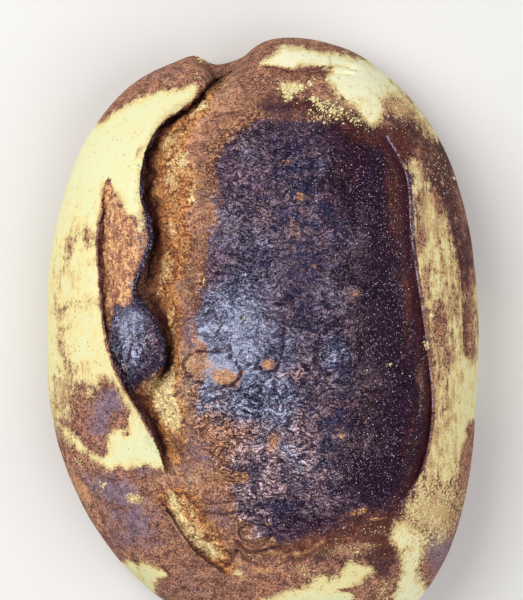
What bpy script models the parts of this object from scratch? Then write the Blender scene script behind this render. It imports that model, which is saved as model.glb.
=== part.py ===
"""A free-standing oval loaf of rye bread, as one closed solid.

The loaf lies flat on its base crust, +Z up, with its length along Y. Three overlapping cuts run down the
-X side of the top. The oven spring opened them, so that their left edges stand up as lips, and the dough
that rose between those lips and a thin seam on the +X side forms the high dome. Units are metres.
"""

import math

import bmesh
import bpy
import numpy as np

MM = 0.001

# Driving sizes of the loaf
LENGTH = 260 * MM
WIDTH = 185 * MM
HEIGHT = 84 * MM
RIM_HEIGHT = 27 * MM  # where the loaf is widest, above the base
BASE_SHARE = 0.85  # size of the flat base against the widest outline
CUT_OFF = 0.4 * MM  # taken off the underside, which leaves the flat face that it rests on

# Form of the outline and of the dome, as exponents of superellipses
OVAL_POWER = 2.35
DOME_POWER_OUT = 2.35
DOME_POWER_UP = 2.0
TAIL_BOW = 10.5 * MM  # how far the -Y end leans towards +X, at TAIL_BOW_AT
TAIL_BOW_AT = 105 * MM
TAIL_BOW_POWER = 2.3

# The notch where the first cut runs out over the +Y end
NOTCH_ANGLE = math.radians(98.5)
NOTCH_DEPTH = 14 * MM
NOTCH_LEFT = math.radians(2.6)
NOTCH_RIGHT = math.radians(6.0)

# The loaf is a little shorter to the left of the notch
SHOULDER_DROP = 4.2 * MM
SHOULDER_AT = -34 * MM
SHOULDER_WIDTH = 28 * MM

# Fineness of the mesh before it is thinned out, and the number of triangles that are kept
GRID_ACROSS = 150
GRID_ALONG = 190
FLANK_ROWS = 12
TRIANGLES = 11000
CENTRE_CROWDING = 0.3  # draws the grid's lines from the rim to the middle
CUT_CROWDING = 1.2  # draws the grid's lines to the cuts
CUT_LINE = -0.42
CUT_SPREAD = 0.25

# A station of a cut: place across and along the loaf, gape of the opening, depth below the dome, rise of the
# lip and how far the lip hangs over the opening. All are in millimetres.
FIRST_CUT = (
    (-16, 117, 4, 6, 0, 0),
    (-29, 101, 8, 8, 0.8, 1.0),
    (-44.5, 90, 18, 9, 1.8, 2.2),
    (-51.5, 77, 24, 11, 2.4, 3.0),
    (-53, 59, 26, 12, 2.6, 3.2),
    (-48, 41, 19, 11, 2.6, 3.2),
    (-54, 20, 20, 11, 1.6, 1.8),
    (-45, 8, 13, 12, 1.0, 1.2),
    (-41.5, -6, 8, 12, 1.4, 1.2),
    (-46, -19, 10, 8, 0.6, 0.4),
    (-51, -29, 5, 0, 0, 0),
)
SECOND_CUT = (
    (-65, 67, 2, 0, 0, 0),
    (-68.5, 52, 9, 4, 1.2, 1.0),
    (-69.5, 38, 14, 5, 1.6, 1.2),
    (-68, 20, 12, 5, 1.6, 1.2),
    (-65.5, 2, 6, 5, 1.2, 1.2),
    (-61, -14, 8, 6, 1.6, 1.2),
    (-54, -27, 18, 10, 2.0, 2.0),
    (-47, -40, 16, 11, 2.0, 2.0),
    (-39, -56, 5, 0, 0, 0),
)
THIRD_CUT = (
    (-47, -61, 3, 0, 0, 0),
    (-41, -70, 13, 3.4, 1.6, 1.2),
    (-33, -83, 16, 4.6, 2.0, 1.6),
    (-24, -93, 13, 4.4, 1.8, 1.4),
    (-9, -101, 3, 0, 0, 0),
)
RIGHT_SEAM = (
    (51, 86, 3, 0, 0, 0),
    (60, 68, 4, 1.2, 0.8, 0.4),
    (62, 40, 4, 1.4, 0.8, 0.4),
    (68, 0, 5, 2.0, 1.0, 0.6),
    (71, -30, 6, 2.8, 1.2, 0.8),
    (66, -55, 6, 2.2, 0.8, 0.6),
    (55, -70, 4, 0, 0, 0),
)
TOP_CRACK = (
    (-4, 113, 2, 0, 0, 0),
    (14, 110, 3, 2.4, 0.8, 0.5),
    (30, 111, 3, 2.0, 0.6, 0.5),
    (42, 109, 2, 0, 0, 0),
)
TAIL_FOLD = (
    (-90, -34, 3, 0, 0, 0),
    (-80, -46, 6, 1.8, 1.4, 0.6),
    (-68, -56, 6, 2.4, 1.2, 0.6),
    (-52, -58, 3, 0, 0, 0),
)
FLAP_ON_LEFT = 1
FLAP_ON_RIGHT = -1
CUTS = (
    (FIRST_CUT, FLAP_ON_LEFT),
    (SECOND_CUT, FLAP_ON_LEFT),
    (THIRD_CUT, FLAP_ON_LEFT),
    (RIGHT_SEAM, FLAP_ON_RIGHT),
    (TOP_CRACK, FLAP_ON_RIGHT),
    (TAIL_FOLD, FLAP_ON_RIGHT),
)
SAMPLES_PER_SPAN = 14
FLAP_REACH = 11 * MM  # how far back from its lip a flap is lifted
WALL_SHARE = 0.26  # share of the opening that the wall under the lip takes
BANK_START = 0.30  # share of the opening where the torn bank starts to climb

# Swellings and dents of the crust: place, half widths and height, in millimetres
SWELLINGS = (
    (-54, 0, 9, 16, 5.0),  # burnt lump left standing between the first two cuts
    (20, 40, 34, 60, 2.2),  # crest of the dome
    (-14, -14, 16, 9, 1.6),  # flat bubble beside the opening
    (31, -8, 11, 12, 1.4),  # ring-shaped bubble
    (38, 18, 6, 6, 1.0),
    (3, -11, 4, 3, 1.6),
    (-3, -78, 9, 6, 1.8),
    (8, 75, 6, 3.5, -1.8),  # sunken bubble
    (30, -88, 26, 8, 1.6),  # folds above the -Y end
    (-2, -90, 20, 3, -1.8),
)

CRUST_COLOUR = (0.16, 0.065, 0.04, 1)
CRUST_ROUGHNESS = 0.62


def ease(share):
    """Smooth step from 0 to 1."""
    share = np.clip(share, 0, 1)
    return share * share * (3 - 2 * share)


def crowded(places):
    """Grid places from -1 to 1, drawn together near the cuts."""
    table = np.linspace(-1, 1, 400)
    pull = 1 + CUT_CROWDING * np.exp(-(((table - CUT_LINE) / CUT_SPREAD) ** 2))
    grown = np.concatenate([[0], np.cumsum((pull[1:] + pull[:-1]) / 2)])
    return np.interp(places, 2 * grown / grown[-1] - 1, table)


def notch(angle):
    """Share of the notch's depth at this angle round the outline."""
    off = (angle - NOTCH_ANGLE + math.pi) % (2 * math.pi) - math.pi
    return np.exp(-((off / np.where(off > 0, NOTCH_LEFT, NOTCH_RIGHT)) ** 2))


def outline(angle):
    """Place on the widest outline, as (x, y), with the oval's own angle."""
    cos, sin = np.cos(angle), np.sin(angle)
    reach = (np.abs(cos) ** OVAL_POWER + np.abs(sin) ** OVAL_POWER) ** (-1 / OVAL_POWER)
    return WIDTH / 2 * reach * cos, LENGTH / 2 * reach * sin


def plain_loaf(reach, angle, turn):
    """Points of the loaf before its cuts.

    reach is the share of the widest outline, angle the direction, and turn the angle over the profile: 0 at
    the top of the dome, a quarter turn at the rim and a half turn at the edge of the base.
    """
    x, y = outline(angle)
    up = turn <= math.pi / 2
    over = np.minimum(turn, math.pi / 2)
    under = np.clip(turn - math.pi / 2, 0, math.pi / 2)
    dome = RIM_HEIGHT + (HEIGHT - RIM_HEIGHT) * np.cos(over) ** (2 / DOME_POWER_UP)
    flank = RIM_HEIGHT * (1 - np.sin(under))
    height = np.where(up, dome, flank)
    tuck = 1 - (1 - BASE_SHARE) * (1 - np.cos(under))
    reach = reach * tuck
    x, y = x * reach, y * reach
    upper = ease(height / RIM_HEIGHT)
    shoulder = SHOULDER_DROP * np.exp(-(((x - SHOULDER_AT) / SHOULDER_WIDTH) ** 2)) * ease(y / LENGTH * 4)
    y = y - notch(np.arctan2(y, x)) * NOTCH_DEPTH * ease(reach * 4 - 3) * upper
    y = y - shoulder * ease(reach * 3 - 2) * upper
    x = x + TAIL_BOW * (np.maximum(-y, 0) / TAIL_BOW_AT) ** TAIL_BOW_POWER
    return np.stack([x, y, height], axis=1)


def smooth_line(stations):
    """The stations of a cut, joined by a Catmull-Rom curve, in metres."""
    knots = np.array(stations, float) * MM
    before = np.vstack([2 * knots[0] - knots[1], knots[:-1]])
    after = np.vstack([knots[1:], 2 * knots[-1] - knots[-2]])
    slopes = (after - before) / 2
    share = np.linspace(0, 1, SAMPLES_PER_SPAN, endpoint=False)[:, None]
    spans = []
    for i in range(len(knots) - 1):
        a, b, da, db = knots[i], knots[i + 1], slopes[i], slopes[i + 1]
        spans.append(
            a * (1 + 2 * share) * (1 - share) ** 2
            + b * (3 - 2 * share) * share**2
            + da * share * (1 - share) ** 2
            - db * (1 - share) * share**2
        )
    return np.vstack([*spans, knots[-1:]])


def open_cut(points, stations, flap_side):
    """Moves the points of the top as a cut opens: a lifted flap, its lip, the wall under it and the bank."""
    line = smooth_line(stations)
    away = points[:, None, :2] - line[None, :, :2]
    nearest = np.argmin((away**2).sum(axis=2), axis=1)
    along = np.gradient(line[:, :2], axis=0)
    along /= np.linalg.norm(along, axis=1)[:, None]
    across = np.stack([-along[:, 1], along[:, 0]], axis=1)[nearest] * flap_side
    offset = (away[np.arange(len(points)), nearest] * across).sum(axis=1)
    gape, depth, lip, hang = line[nearest, 2:].T
    gape = np.maximum(gape, MM)
    hang = np.minimum(hang, 0.3 * gape)
    past_end = (nearest == 0) | (nearest == len(line) - 1)

    lift = np.clip(1 + offset / FLAP_REACH, 0, 1)
    share = np.clip(offset / gape, 0, 1)
    fall = ease(share / WALL_SHARE)
    climb = ease((share - BANK_START) / (1 - BANK_START))
    rise_flap = lip * ease(lift)
    rise_opening = lip * (1 - fall) - depth * fall * (1 - climb)
    shift_flap = hang * lift**2
    shift_opening = hang * (1 - 1.5 * ease(share / WALL_SHARE) + 0.5 * climb)
    on_flap = offset < 0
    rise = np.where(on_flap, rise_flap, rise_opening)
    shift = np.where(on_flap, shift_flap, shift_opening)
    fade = np.where(past_end, 0, 1)
    points[:, 2] += rise * fade
    points[:, :2] += across * (shift * fade)[:, None]


def swell(points):
    """Raises or sinks the crust at its bubbles, folds and lumps."""
    rise = np.zeros(len(points))
    for x, y, half_across, half_along, height in SWELLINGS:
        far = ((points[:, 0] / MM - x) / half_across) ** 2 + ((points[:, 1] / MM - y) / half_along) ** 2
        rise += height * MM * np.exp(-far)
    points[:, 2] += rise


def top_sheet():
    """The upper crust, from the top of the dome to the widest outline, as an open mesh."""
    bm = bmesh.new()
    bmesh.ops.create_grid(bm, x_segments=GRID_ACROSS, y_segments=GRID_ALONG, size=1)
    places = np.array([v.co[:2] for v in bm.verts])
    across, along = crowded(places[:, 0]), places[:, 1]
    u = across * np.sqrt(1 - along**2 / 2)
    v = along * np.sqrt(1 - across**2 / 2)
    radius = np.clip(np.hypot(u, v), 0, 1)
    angle = np.arctan2(v, u)
    turn = math.pi / 2 * ((1 - CENTRE_CROWDING) * radius + CENTRE_CROWDING * radius**3)
    points = plain_loaf(np.sin(turn) ** (2 / DOME_POWER_OUT), angle, turn)
    for stations, flap_side in CUTS:
        open_cut(points, stations, flap_side)
    swell(points)
    for vert, point in zip(bm.verts, points):
        vert.co = point
    rim_angles = {vert: angle[i] for i, vert in enumerate(bm.verts) if vert.is_boundary}
    return bm, rim_angles


def add_flank_and_base(bm, rim_angles):
    """Extrudes the rim down and in to the base, row by row, and closes the base with one face."""
    for row in range(1, FLANK_ROWS + 1):
        edges = [edge for edge in bm.edges if edge.is_boundary]
        made = bmesh.ops.extrude_edge_only(bm, edges=edges)["geom"]
        verts = [item for item in made if isinstance(item, bmesh.types.BMVert)]
        above = {}
        for vert in verts:
            joined = [edge.other_vert(vert) for edge in vert.link_edges]
            above[vert] = next(other for other in joined if other in rim_angles)
        angles = np.array([rim_angles[above[vert]] for vert in verts])
        turn = np.full(len(verts), math.pi / 2 * (1 + row / FLANK_ROWS))
        points = plain_loaf(np.ones(len(verts)), angles, turn)
        rim_angles = {}
        for vert, point, angle in zip(verts, points, angles):
            vert.co = point
            rim_angles[vert] = angle
    bmesh.ops.holes_fill(bm, edges=[edge for edge in bm.edges if edge.is_boundary])
    bmesh.ops.recalc_face_normals(bm, faces=bm.faces[:])


def thin_out(loaf):
    """Leaves the triangles where the crust bends most."""
    bpy.context.view_layer.update()
    loaf.data.calc_loop_triangles()
    thin = loaf.modifiers.new("thin_out", "DECIMATE")
    thin.ratio = TRIANGLES / len(loaf.data.loop_triangles)
    graph = bpy.context.evaluated_depsgraph_get()
    thinned = bpy.data.meshes.new_from_object(loaf.evaluated_get(graph))
    loaf.modifiers.remove(thin)
    loaf.data = thinned


def flatten_and_centre(mesh):
    """Cuts the underside flat, and sets the origin at the middle of the base."""
    bm = bmesh.new()
    bm.from_mesh(mesh)
    bmesh.ops.bisect_plane(
        bm,
        geom=bm.verts[:] + bm.edges[:] + bm.faces[:],
        plane_co=(0, 0, CUT_OFF),
        plane_no=(0, 0, 1),
        clear_inner=True,
    )
    bmesh.ops.holes_fill(bm, edges=[edge for edge in bm.edges if edge.is_boundary])
    places = np.array([v.co for v in bm.verts])
    low, high = places.min(axis=0), places.max(axis=0)
    shift = (-(low[0] + high[0]) / 2, -(low[1] + high[1]) / 2, -CUT_OFF)
    bmesh.ops.translate(bm, verts=bm.verts, vec=shift)
    bm.to_mesh(mesh)
    bm.free()


def crust_material():
    material = bpy.data.materials.new("rye_crust")
    material.use_nodes = True
    shader = material.node_tree.nodes["Principled BSDF"]
    shader.inputs["Base Color"].default_value = CRUST_COLOUR
    shader.inputs["Roughness"].default_value = CRUST_ROUGHNESS
    shader.inputs["Metallic"].default_value = 0
    return material


def build_loaf(collection):
    bm, rim_angles = top_sheet()
    add_flank_and_base(bm, rim_angles)
    mesh = bpy.data.meshes.new("rye_loaf")
    bm.to_mesh(mesh)
    bm.free()
    loaf = bpy.data.objects.new("rye_loaf", mesh)
    collection.objects.link(loaf)
    thin_out(loaf)
    flatten_and_centre(loaf.data)
    loaf.data.name = "rye_loaf"
    loaf.data.materials.append(crust_material())
    loaf.data.shade_smooth()


def main():
    for old in list(bpy.data.objects):
        bpy.data.objects.remove(old)
    collection = bpy.data.collections.new("rye_bread_loaf")
    bpy.context.scene.collection.children.link(collection)
    build_loaf(collection)


main()
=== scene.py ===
"""Looks of the rye bread loaf: its crust, char, flour, torn banks and loose grains.

Units are metres. Relief is given in millimetres, as in the loaf's own source. Paint is placed as it is
sighted from above, in pixels of the 523 by 600 photograph.
"""

import math
import random

import bpy
import numpy as np
from mathutils import Matrix, Vector, noise
from mathutils.bvhtree import BVHTree


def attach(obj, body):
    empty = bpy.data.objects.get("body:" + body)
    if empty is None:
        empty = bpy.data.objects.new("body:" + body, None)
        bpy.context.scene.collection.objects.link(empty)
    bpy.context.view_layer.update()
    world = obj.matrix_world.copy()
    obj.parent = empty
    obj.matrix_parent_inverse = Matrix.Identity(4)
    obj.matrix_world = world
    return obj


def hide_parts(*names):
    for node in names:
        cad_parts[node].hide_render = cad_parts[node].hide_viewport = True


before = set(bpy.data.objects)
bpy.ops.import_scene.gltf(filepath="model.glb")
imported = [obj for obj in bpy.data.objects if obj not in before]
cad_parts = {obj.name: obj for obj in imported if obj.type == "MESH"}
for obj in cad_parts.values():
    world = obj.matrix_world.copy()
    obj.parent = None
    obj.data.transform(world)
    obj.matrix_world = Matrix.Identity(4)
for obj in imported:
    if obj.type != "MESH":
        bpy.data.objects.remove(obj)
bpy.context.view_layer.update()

MM = 0.001

# Form of the loaf, as in its own source
LENGTH = 260 * MM
WIDTH = 185 * MM
HEIGHT = 84 * MM
RIM_HEIGHT = 27 * MM
BASE_SHARE = 0.85
CUT_OFF = 0.4 * MM
OVAL_POWER = 2.35
DOME_POWER_OUT = 2.35
DOME_POWER_UP = 2.0
TAIL_BOW = 10.5 * MM
TAIL_BOW_AT = 105 * MM
TAIL_BOW_POWER = 2.3
NOTCH_ANGLE = math.radians(98.5)
NOTCH_DEPTH = 14 * MM
NOTCH_LEFT = math.radians(2.6)
NOTCH_RIGHT = math.radians(6.0)
SHOULDER_DROP = 4.2 * MM  # how much shorter the loaf is to the left of the notch
SHOULDER_AT = -34 * MM
SHOULDER_WIDTH = 28 * MM

# Stations of the cuts: place across and along, gape, depth, rise of the lip and its overhang, in millimetres
FIRST_CUT = (
    (-16, 117, 4, 6, 0, 0),
    (-29, 101, 8, 8, 0.8, 1.0),
    (-44.5, 90, 18, 9, 1.8, 2.2),
    (-51.5, 77, 24, 11, 2.4, 3.0),
    (-53, 59, 26, 12, 2.6, 3.2),
    (-48, 41, 19, 11, 2.6, 3.2),
    (-54, 20, 20, 11, 1.6, 1.8),
    (-45, 8, 13, 12, 1.0, 1.2),
    (-41.5, -6, 8, 12, 1.4, 1.2),
    (-46, -19, 10, 5, 0.6, 0.4),
    (-51, -29, 5, 0, 0, 0),
)
SECOND_CUT = (
    (-65, 67, 2, 0, 0, 0),
    (-68.5, 52, 9, 4, 1.2, 1.0),
    (-69.5, 38, 14, 5, 1.6, 1.2),
    (-68, 20, 12, 5, 1.6, 1.2),
    (-65.5, 2, 6, 5, 1.2, 1.2),
    (-61, -14, 8, 6, 1.6, 1.2),
    (-54, -27, 18, 10, 2.0, 2.0),
    (-47, -40, 16, 11, 2.0, 2.0),
    (-39, -56, 5, 0, 0, 0),
)
THIRD_CUT = (
    (-47, -61, 3, 0, 0, 0),
    (-41, -70, 13, 3.4, 1.6, 1.2),
    (-33, -83, 16, 4.6, 2.0, 1.6),
    (-24, -93, 13, 4.4, 1.8, 1.4),
    (-9, -101, 3, 0, 0, 0),
)
RIGHT_SEAM = (
    (51, 86, 3, 0, 0, 0),
    (60, 68, 4, 1.2, 0.8, 0.4),
    (62, 40, 4, 1.4, 0.8, 0.4),
    (68, 0, 5, 2.0, 1.0, 0.6),
    (71, -30, 6, 2.8, 1.2, 0.8),
    (66, -55, 6, 2.2, 0.8, 0.6),
    (55, -70, 4, 0, 0, 0),
)
TOP_CRACK = (
    (-4, 114, 2, 0, 0, 0),
    (14, 112, 3, 2.4, 0.8, 0.5),
    (30, 113, 3, 2.0, 0.6, 0.5),
    (42, 112, 2, 0, 0, 0),
)
TAIL_FOLD = (
    (-90, -34, 3, 0, 0, 0),
    (-80, -46, 6, 1.8, 1.4, 0.6),
    (-68, -56, 6, 2.4, 1.2, 0.6),
    (-52, -58, 3, 0, 0, 0),
)
FLAP_ON_LEFT = 1
FLAP_ON_RIGHT = -1
SAMPLES_PER_SPAN = 14
FLAP_REACH = 11 * MM
WALL_LEAST = 0.5 * MM  # width of the wall under a lip, and how it grows with the cut's depth
WALL_SLOPE = 0.15
GROOVE_FLOOR = 0.05  # share of the opening that is floor
CREST = 0.08  # rise of the bank's crest, as a share of the depth, and its place and width in the opening
CREST_PLACE = 0.86
CREST_WIDTH = 0.10
HANG_LIMIT = 0.3  # most that a lip hangs over, as a share of the gape
LIP_WAVE = 5 * MM  # raggedness of the lips
LIP_WAVE_HEIGHT = 0.55 * MM
GAPE_WAVE = 7 * MM  # raggedness of the bank's far edge
GAPE_WAVE_SHARE = 0.30
TORN_DEPTH = 3 * MM  # depth at which a cut is fully torn, and at which its floor takes its full painted shade
DARK_DEPTH = 8 * MM
PALE_PLACE = 0.64  # place and width in the opening of the bank's pale crumb
PALE_WIDTH = 0.18
SHADE_AT = 1.2 * MM  # the painted shadow line under a lip, past its edge
SHADE_WIDTH = 1.3 * MM
SOOT_WIDTH = 1.2 * MM  # the burnt edge of a lip
SOOT_WIDENED = 1.8 * MM
SOOT_SHARE = 0.62

# Swellings and dents: place, half widths and height, in millimetres
SWELLINGS = (
    (-54, 0, 9, 16, 5.0),
    (20, 40, 34, 60, 2.2),
    (-14, -14, 16, 9, 1.6),
    (31, -8, 11, 12, 1.4),
    (38, 18, 6, 6, 1.0),
    (3, -11, 4, 3, 1.6),
    (-3, -78, 9, 6, 1.8),
    (8, 75, 6, 3.5, -1.8),
    (30, -88, 26, 8, 1.6),
    (-2, -90, 20, 3, -1.8),
)

# Relief of the crust: heights in millimetres, and sizes of its lumps
ROLL_HEIGHT = 0.7
ROLL_SIZE = 34 * MM
DENT_HEIGHT = 0.30
DENT_SIZE = 13 * MM
BEND = 4 * MM  # how far wrinkles wander
BEND_SIZE = 22 * MM
WRINKLE_HEIGHT = 0.60
WRINKLE_SIZE = (13 * MM, 5 * MM, 9 * MM)
FOLD_HEIGHT = 0.40
FOLD_SIZE = (14 * MM, 6 * MM, 9 * MM)
FINE_WRINKLE_HEIGHT = 0.32
FINE_WRINKLE_SIZE = (5 * MM, 2.3 * MM, 4 * MM)
CRAG_HEIGHT = 1.6
CRAG_SIZE = (6 * MM, 9 * MM, 5 * MM)
FINE_CRAG_SIZE = (3.4 * MM, 2.4 * MM, 2.4 * MM)
BREAK_SIZE = 5 * MM  # how far apart creases break up
CALM_SHARE = 0.85  # share of the wrinkles that a calm place loses

# Fineness of the mesh
GRID_ACROSS = 242
GRID_ALONG = 290
FLANK_ROWS = 14
BASE_RINGS = 6
CENTRE_CROWDING = 0.12
CUT_CROWDING = 1.1
CUT_LINE = -0.48
CUT_SPREAD = 0.24

# Free ends of the lines that three columns of the mesh follow, in millimetres, and the columns' places
LEFT_ENDS = ((-6, -122), (-14, -106), (-64, 66), (-60, 84), (-50, 100), (-38, 116))
MIDDLE_ENDS = (
    (10, -126), (4, -108), (-7, -93), (-17, -81), (-25, -70), (-27, -56), (-31, -42), (-38, -29), (-12, 122),
)
RIGHT_ENDS = ((52, -114), (56, -94), (60, -74), (56, 84), (50, 100), (40, 114))
LEFT_COLUMN = -0.70
MIDDLE_COLUMN = -0.50
RIGHT_COLUMN = 0.72
END_FADE = 0.10  # share of the rows over which the columns leave these lines

# The camera looks straight down, as the photograph does
PHOTO_SIZE = (523, 600)
PHOTO_MIDDLE = (261.5, 300)
LOAF_MIDDLE = (262.5, 338)
PIXEL = 0.4305 * MM  # at the widest line of the loaf
CAMERA_DISTANCE = 1.05  # above the widest line
SENSOR = 36

# Paint: widths and distances in pixels of the photograph
WIDE_SOOT_FROM = 138  # the stretch of the first lip with a wider burnt edge, and how it fades in and out
WIDE_SOOT_IN = 22
WIDE_SOOT_TO = 366
WIDE_SOOT_OUT = 16
CREASE_IN_FLOUR = 6  # how much thinner the flour is in a crease
RING_WIDTH = 1.5  # half the width of the ring round a bubble, a dent that carries painted shade
RING_PLACE = 1.08  # the ring's place, as a share of the bubble's half widths
RING_DEPTH = 0.7  # share of its depth that a ring keeps beside the wrinkles
FAR = 46  # distances from lines and outlines are measured up to this

# Floured areas, as outlines in pixels
LEFT_FLOUR = (
    (196, 83), (179, 88), (162, 90), (146, 95), (131, 101), (119, 109), (108, 117), (96, 123), (60, 130),
    (30, 200), (10, 300), (12, 380), (30, 425), (57, 424), (70, 420), (77, 408), (79, 396), (84, 388),
    (90, 399), (95, 393), (99, 382), (108, 380), (116, 388), (123, 400), (128, 404), (142, 400), (128, 380),
    (120, 366), (110, 348), (107, 330), (108, 316), (107, 303), (104, 282), (103, 262), (101, 244),
    (101, 227), (103, 198), (105, 188), (107, 183), (113, 190), (120, 203), (128, 216), (134, 229),
    (143, 232), (144, 216), (142, 199), (142, 186), (144, 173), (148, 158), (150, 146), (155, 133),
    (164, 122), (176, 112), (188, 104), (197, 97),
)
LOWER_LEFT_FLOUR = (
    (40, 400), (57, 412), (62, 420), (69, 429), (77, 436), (84, 445), (93, 453), (101, 456), (106, 446),
    (112, 432), (121, 429), (128, 425), (129, 412), (124, 398), (116, 384), (114, 364), (127, 372),
    (133, 386), (143, 397), (151, 416), (160, 434), (164, 443), (166, 453), (173, 465), (170, 472),
    (158, 469), (146, 466), (137, 468), (128, 470), (117, 468), (109, 471), (101, 466), (94, 462), (84, 454),
    (75, 447), (67, 440), (59, 430), (40, 420),
)
CHIN_FLOUR = (
    (100, 556), (118, 561), (131, 559), (140, 561), (152, 564), (163, 569), (171, 573), (168, 577),
    (158, 580), (157, 589), (150, 606), (120, 590),
)
TOP_FLOUR = (
    (258, 63), (272, 53), (281, 45), (292, 46), (306, 48), (323, 51), (340, 53), (358, 58), (368, 60),
    (395, 66), (450, 110), (440, 140), (430, 138), (421, 129), (413, 119), (402, 109), (393, 103), (388, 110),
    (382, 122), (372, 127), (366, 123), (358, 115), (351, 108), (340, 99), (330, 87), (325, 77), (329, 71),
    (320, 69), (311, 67), (297, 69), (284, 70), (273, 67), (262, 66),
)
RIGHT_FLOUR = (
    (405, 168), (414, 160), (420, 166), (430, 180), (441, 205), (449, 229), (456, 252), (460, 272),
    (463, 296), (464, 321), (466, 346), (469, 362), (474, 350), (474, 310), (476, 285), (520, 290),
    (530, 400), (500, 440), (476, 423), (473, 440), (466, 454), (461, 469), (457, 486), (450, 496),
    (436, 486), (423, 477), (421, 469), (427, 459), (431, 443), (434, 422), (434, 400), (432, 378),
    (428, 350), (421, 312), (416, 285), (413, 250), (412, 217), (412, 190),
)
FOOT_FLOUR = (
    (394, 522), (402, 518), (415, 520), (425, 527), (428, 541), (424, 558), (420, 572), (428, 588),
    (440, 600), (420, 625), (390, 620), (392, 600), (397, 583), (401, 565), (399, 552), (392, 543),
    (390, 534),
)
TOE_FLOUR = (
    (262, 600), (284, 591), (301, 588), (310, 583), (317, 576), (332, 577), (341, 571), (348, 563),
    (358, 562), (375, 570), (370, 577), (363, 584), (358, 590), (352, 604), (330, 640), (280, 640),
)
CLUMP_FLOUR = (
    (280, 82), (294, 83), (303, 87), (299, 93), (291, 94), (288, 101), (284, 95),
)
HEEL_FLOUR = (
    (421, 468), (440, 478), (458, 484), (466, 496), (462, 516), (452, 534), (438, 542), (426, 530),
    (408, 522), (404, 508), (412, 496), (414, 482),
)
FLOURED = (
    LEFT_FLOUR, LOWER_LEFT_FLOUR, CHIN_FLOUR, TOP_FLOUR, RIGHT_FLOUR, FOOT_FLOUR, TOE_FLOUR, CLUMP_FLOUR,
    HEEL_FLOUR,
)

# Thin places in the flour: middle, half widths, turn in degrees and strength, in pixels
THIN_FLOUR = (
    (66, 385, 11, 20, 0, 4), (470, 250, 4, 40, 0, 4), (70, 246, 6, 28, 14, 9), (88, 238, 7, 13, 0, 8),
    (134, 222, 4, 8, 0, 12), (62, 345, 7, 28, 0, 7), (62, 308, 6, 9, 0, 6), (86, 303, 20, 8, -10, 5),
    (66, 404, 16, 16, 0, 6), (118, 292, 5, 6, 0, 6), (138, 154, 4, 9, 20, 9), (127, 168, 6, 7, 0, 4),
    (108, 452, 7, 7, 0, 4), (127, 434, 4, 1.6, -20, 14), (399, 112, 12, 15, -30, 14),
    (422, 204, 5, 22, 4, 13), (423, 240, 5, 14, 10, 14), (428, 270, 4, 12, 10, 13), (426, 292, 5, 8, 0, 7),
    (441, 335, 11, 40, -6, 12), (439, 315, 5, 9, 0, 9), (436, 196, 3, 30, -14, 9), (448, 425, 4, 30, 6, 3),
    (347, 590, 11, 3, 0, 14), (404, 549, 2, 2, 0, 6), (411, 548, 2, 2, 0, 6), (454, 300, 2.5, 26, -4, 8),
    (445, 270, 2.5, 36, -8, 5), (426, 312, 4, 3, 0, 14), (55, 300, 4, 40, 0, 4), (100, 300, 4, 9, 0, 4),
    (76, 275, 8, 10, 0, 4), (330, 60, 3, 6, 0, 5), (362, 100, 8, 10, 0, 3), (470, 440, 6, 18, 20, 8),
    (440, 508, 24, 24, 0, 6), (452, 515, 10, 24, 16, 5), (92, 262, 6, 16, 0, 4), (78, 372, 10, 20, 0, 5),
    (96, 348, 5, 24, 0, 3),
)

# Places where the flour's edge is soft: middle, half widths, turn in degrees and strength
SOFT_FLOUR = (
    (80, 386, 40, 20, 0, 1.6), (58, 420, 16, 30, 0, 1.5), (66, 290, 22, 70, 0, 0.8),
    (436, 330, 26, 150, 0, 1.3), (436, 505, 30, 36, 0, 1.6), (330, 580, 60, 14, 0, 0.7),
    (402, 116, 24, 22, 0, 1.6), (430, 190, 20, 40, 0, 1.2), (108, 300, 20, 60, 0, 0.4),
    (120, 575, 30, 10, 0, 0.4), (415, 560, 16, 40, 0, 0.6), (340, 105, 20, 16, 0, 1.0),
)

# Loose flour outside the floured areas: middle, half widths, turn and amount from 0 to 1, in pixels
DUSTED = (
    (133, 498, 10, 7, 10, 1.0), (143, 512, 9, 10, 0, 0.55), (144, 529, 5, 8, 0, 0.52),
    (79, 463, 5, 10, -30, 0.62), (73, 470, 3, 9, -25, 0.62), (84, 490, 4, 12, -30, 0.55),
    (101, 506, 5, 16, -32, 0.5), (113, 517, 4, 8, -25, 0.5), (104, 485, 3, 4, 0, 0.7),
    (66, 425, 10, 8, 0, 0.45), (62, 392, 12, 18, 0, 0.62), (119, 380, 8, 16, -35, 0.75),
    (130, 400, 6, 12, -35, 0.65), (335, 108, 26, 13, 20, 0.62), (320, 92, 14, 9, 0, 0.30),
    (312, 84, 6, 4, 0, 0.5), (395, 105, 16, 16, 0, 0.62), (428, 505, 28, 22, 10, 0.66),
    (440, 545, 16, 24, 20, 0.55), (384, 592, 14, 14, 0, 0.5), (300, 570, 16, 8, 0, 0.60),
    (345, 552, 28, 14, 0, 0.52), (375, 530, 26, 9, 12, 0.36), (372, 545, 14, 4, 0, 0.5),
    (425, 250, 9, 34, 6, 0.52), (428, 205, 12, 34, -14, 0.66), (440, 170, 14, 20, -20, 0.40),
    (204, 60, 8, 5, 20, 0.8), (410, 112, 16, 16, 0, 0.45), (466, 210, 5, 40, -10, 0.45),
    (470, 300, 5, 40, 0, 0.50), (275, 590, 16, 6, 0, 0.4), (396, 140, 6, 10, -30, 0.38),
    (105, 205, 3, 12, 0, 0.25), (196, 70, 6, 4, 20, 0.45), (438, 350, 10, 24, 0, 0.5),
    (84, 390, 12, 12, 0, 0.35), (440, 515, 20, 16, 0, 0.3),
)

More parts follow.
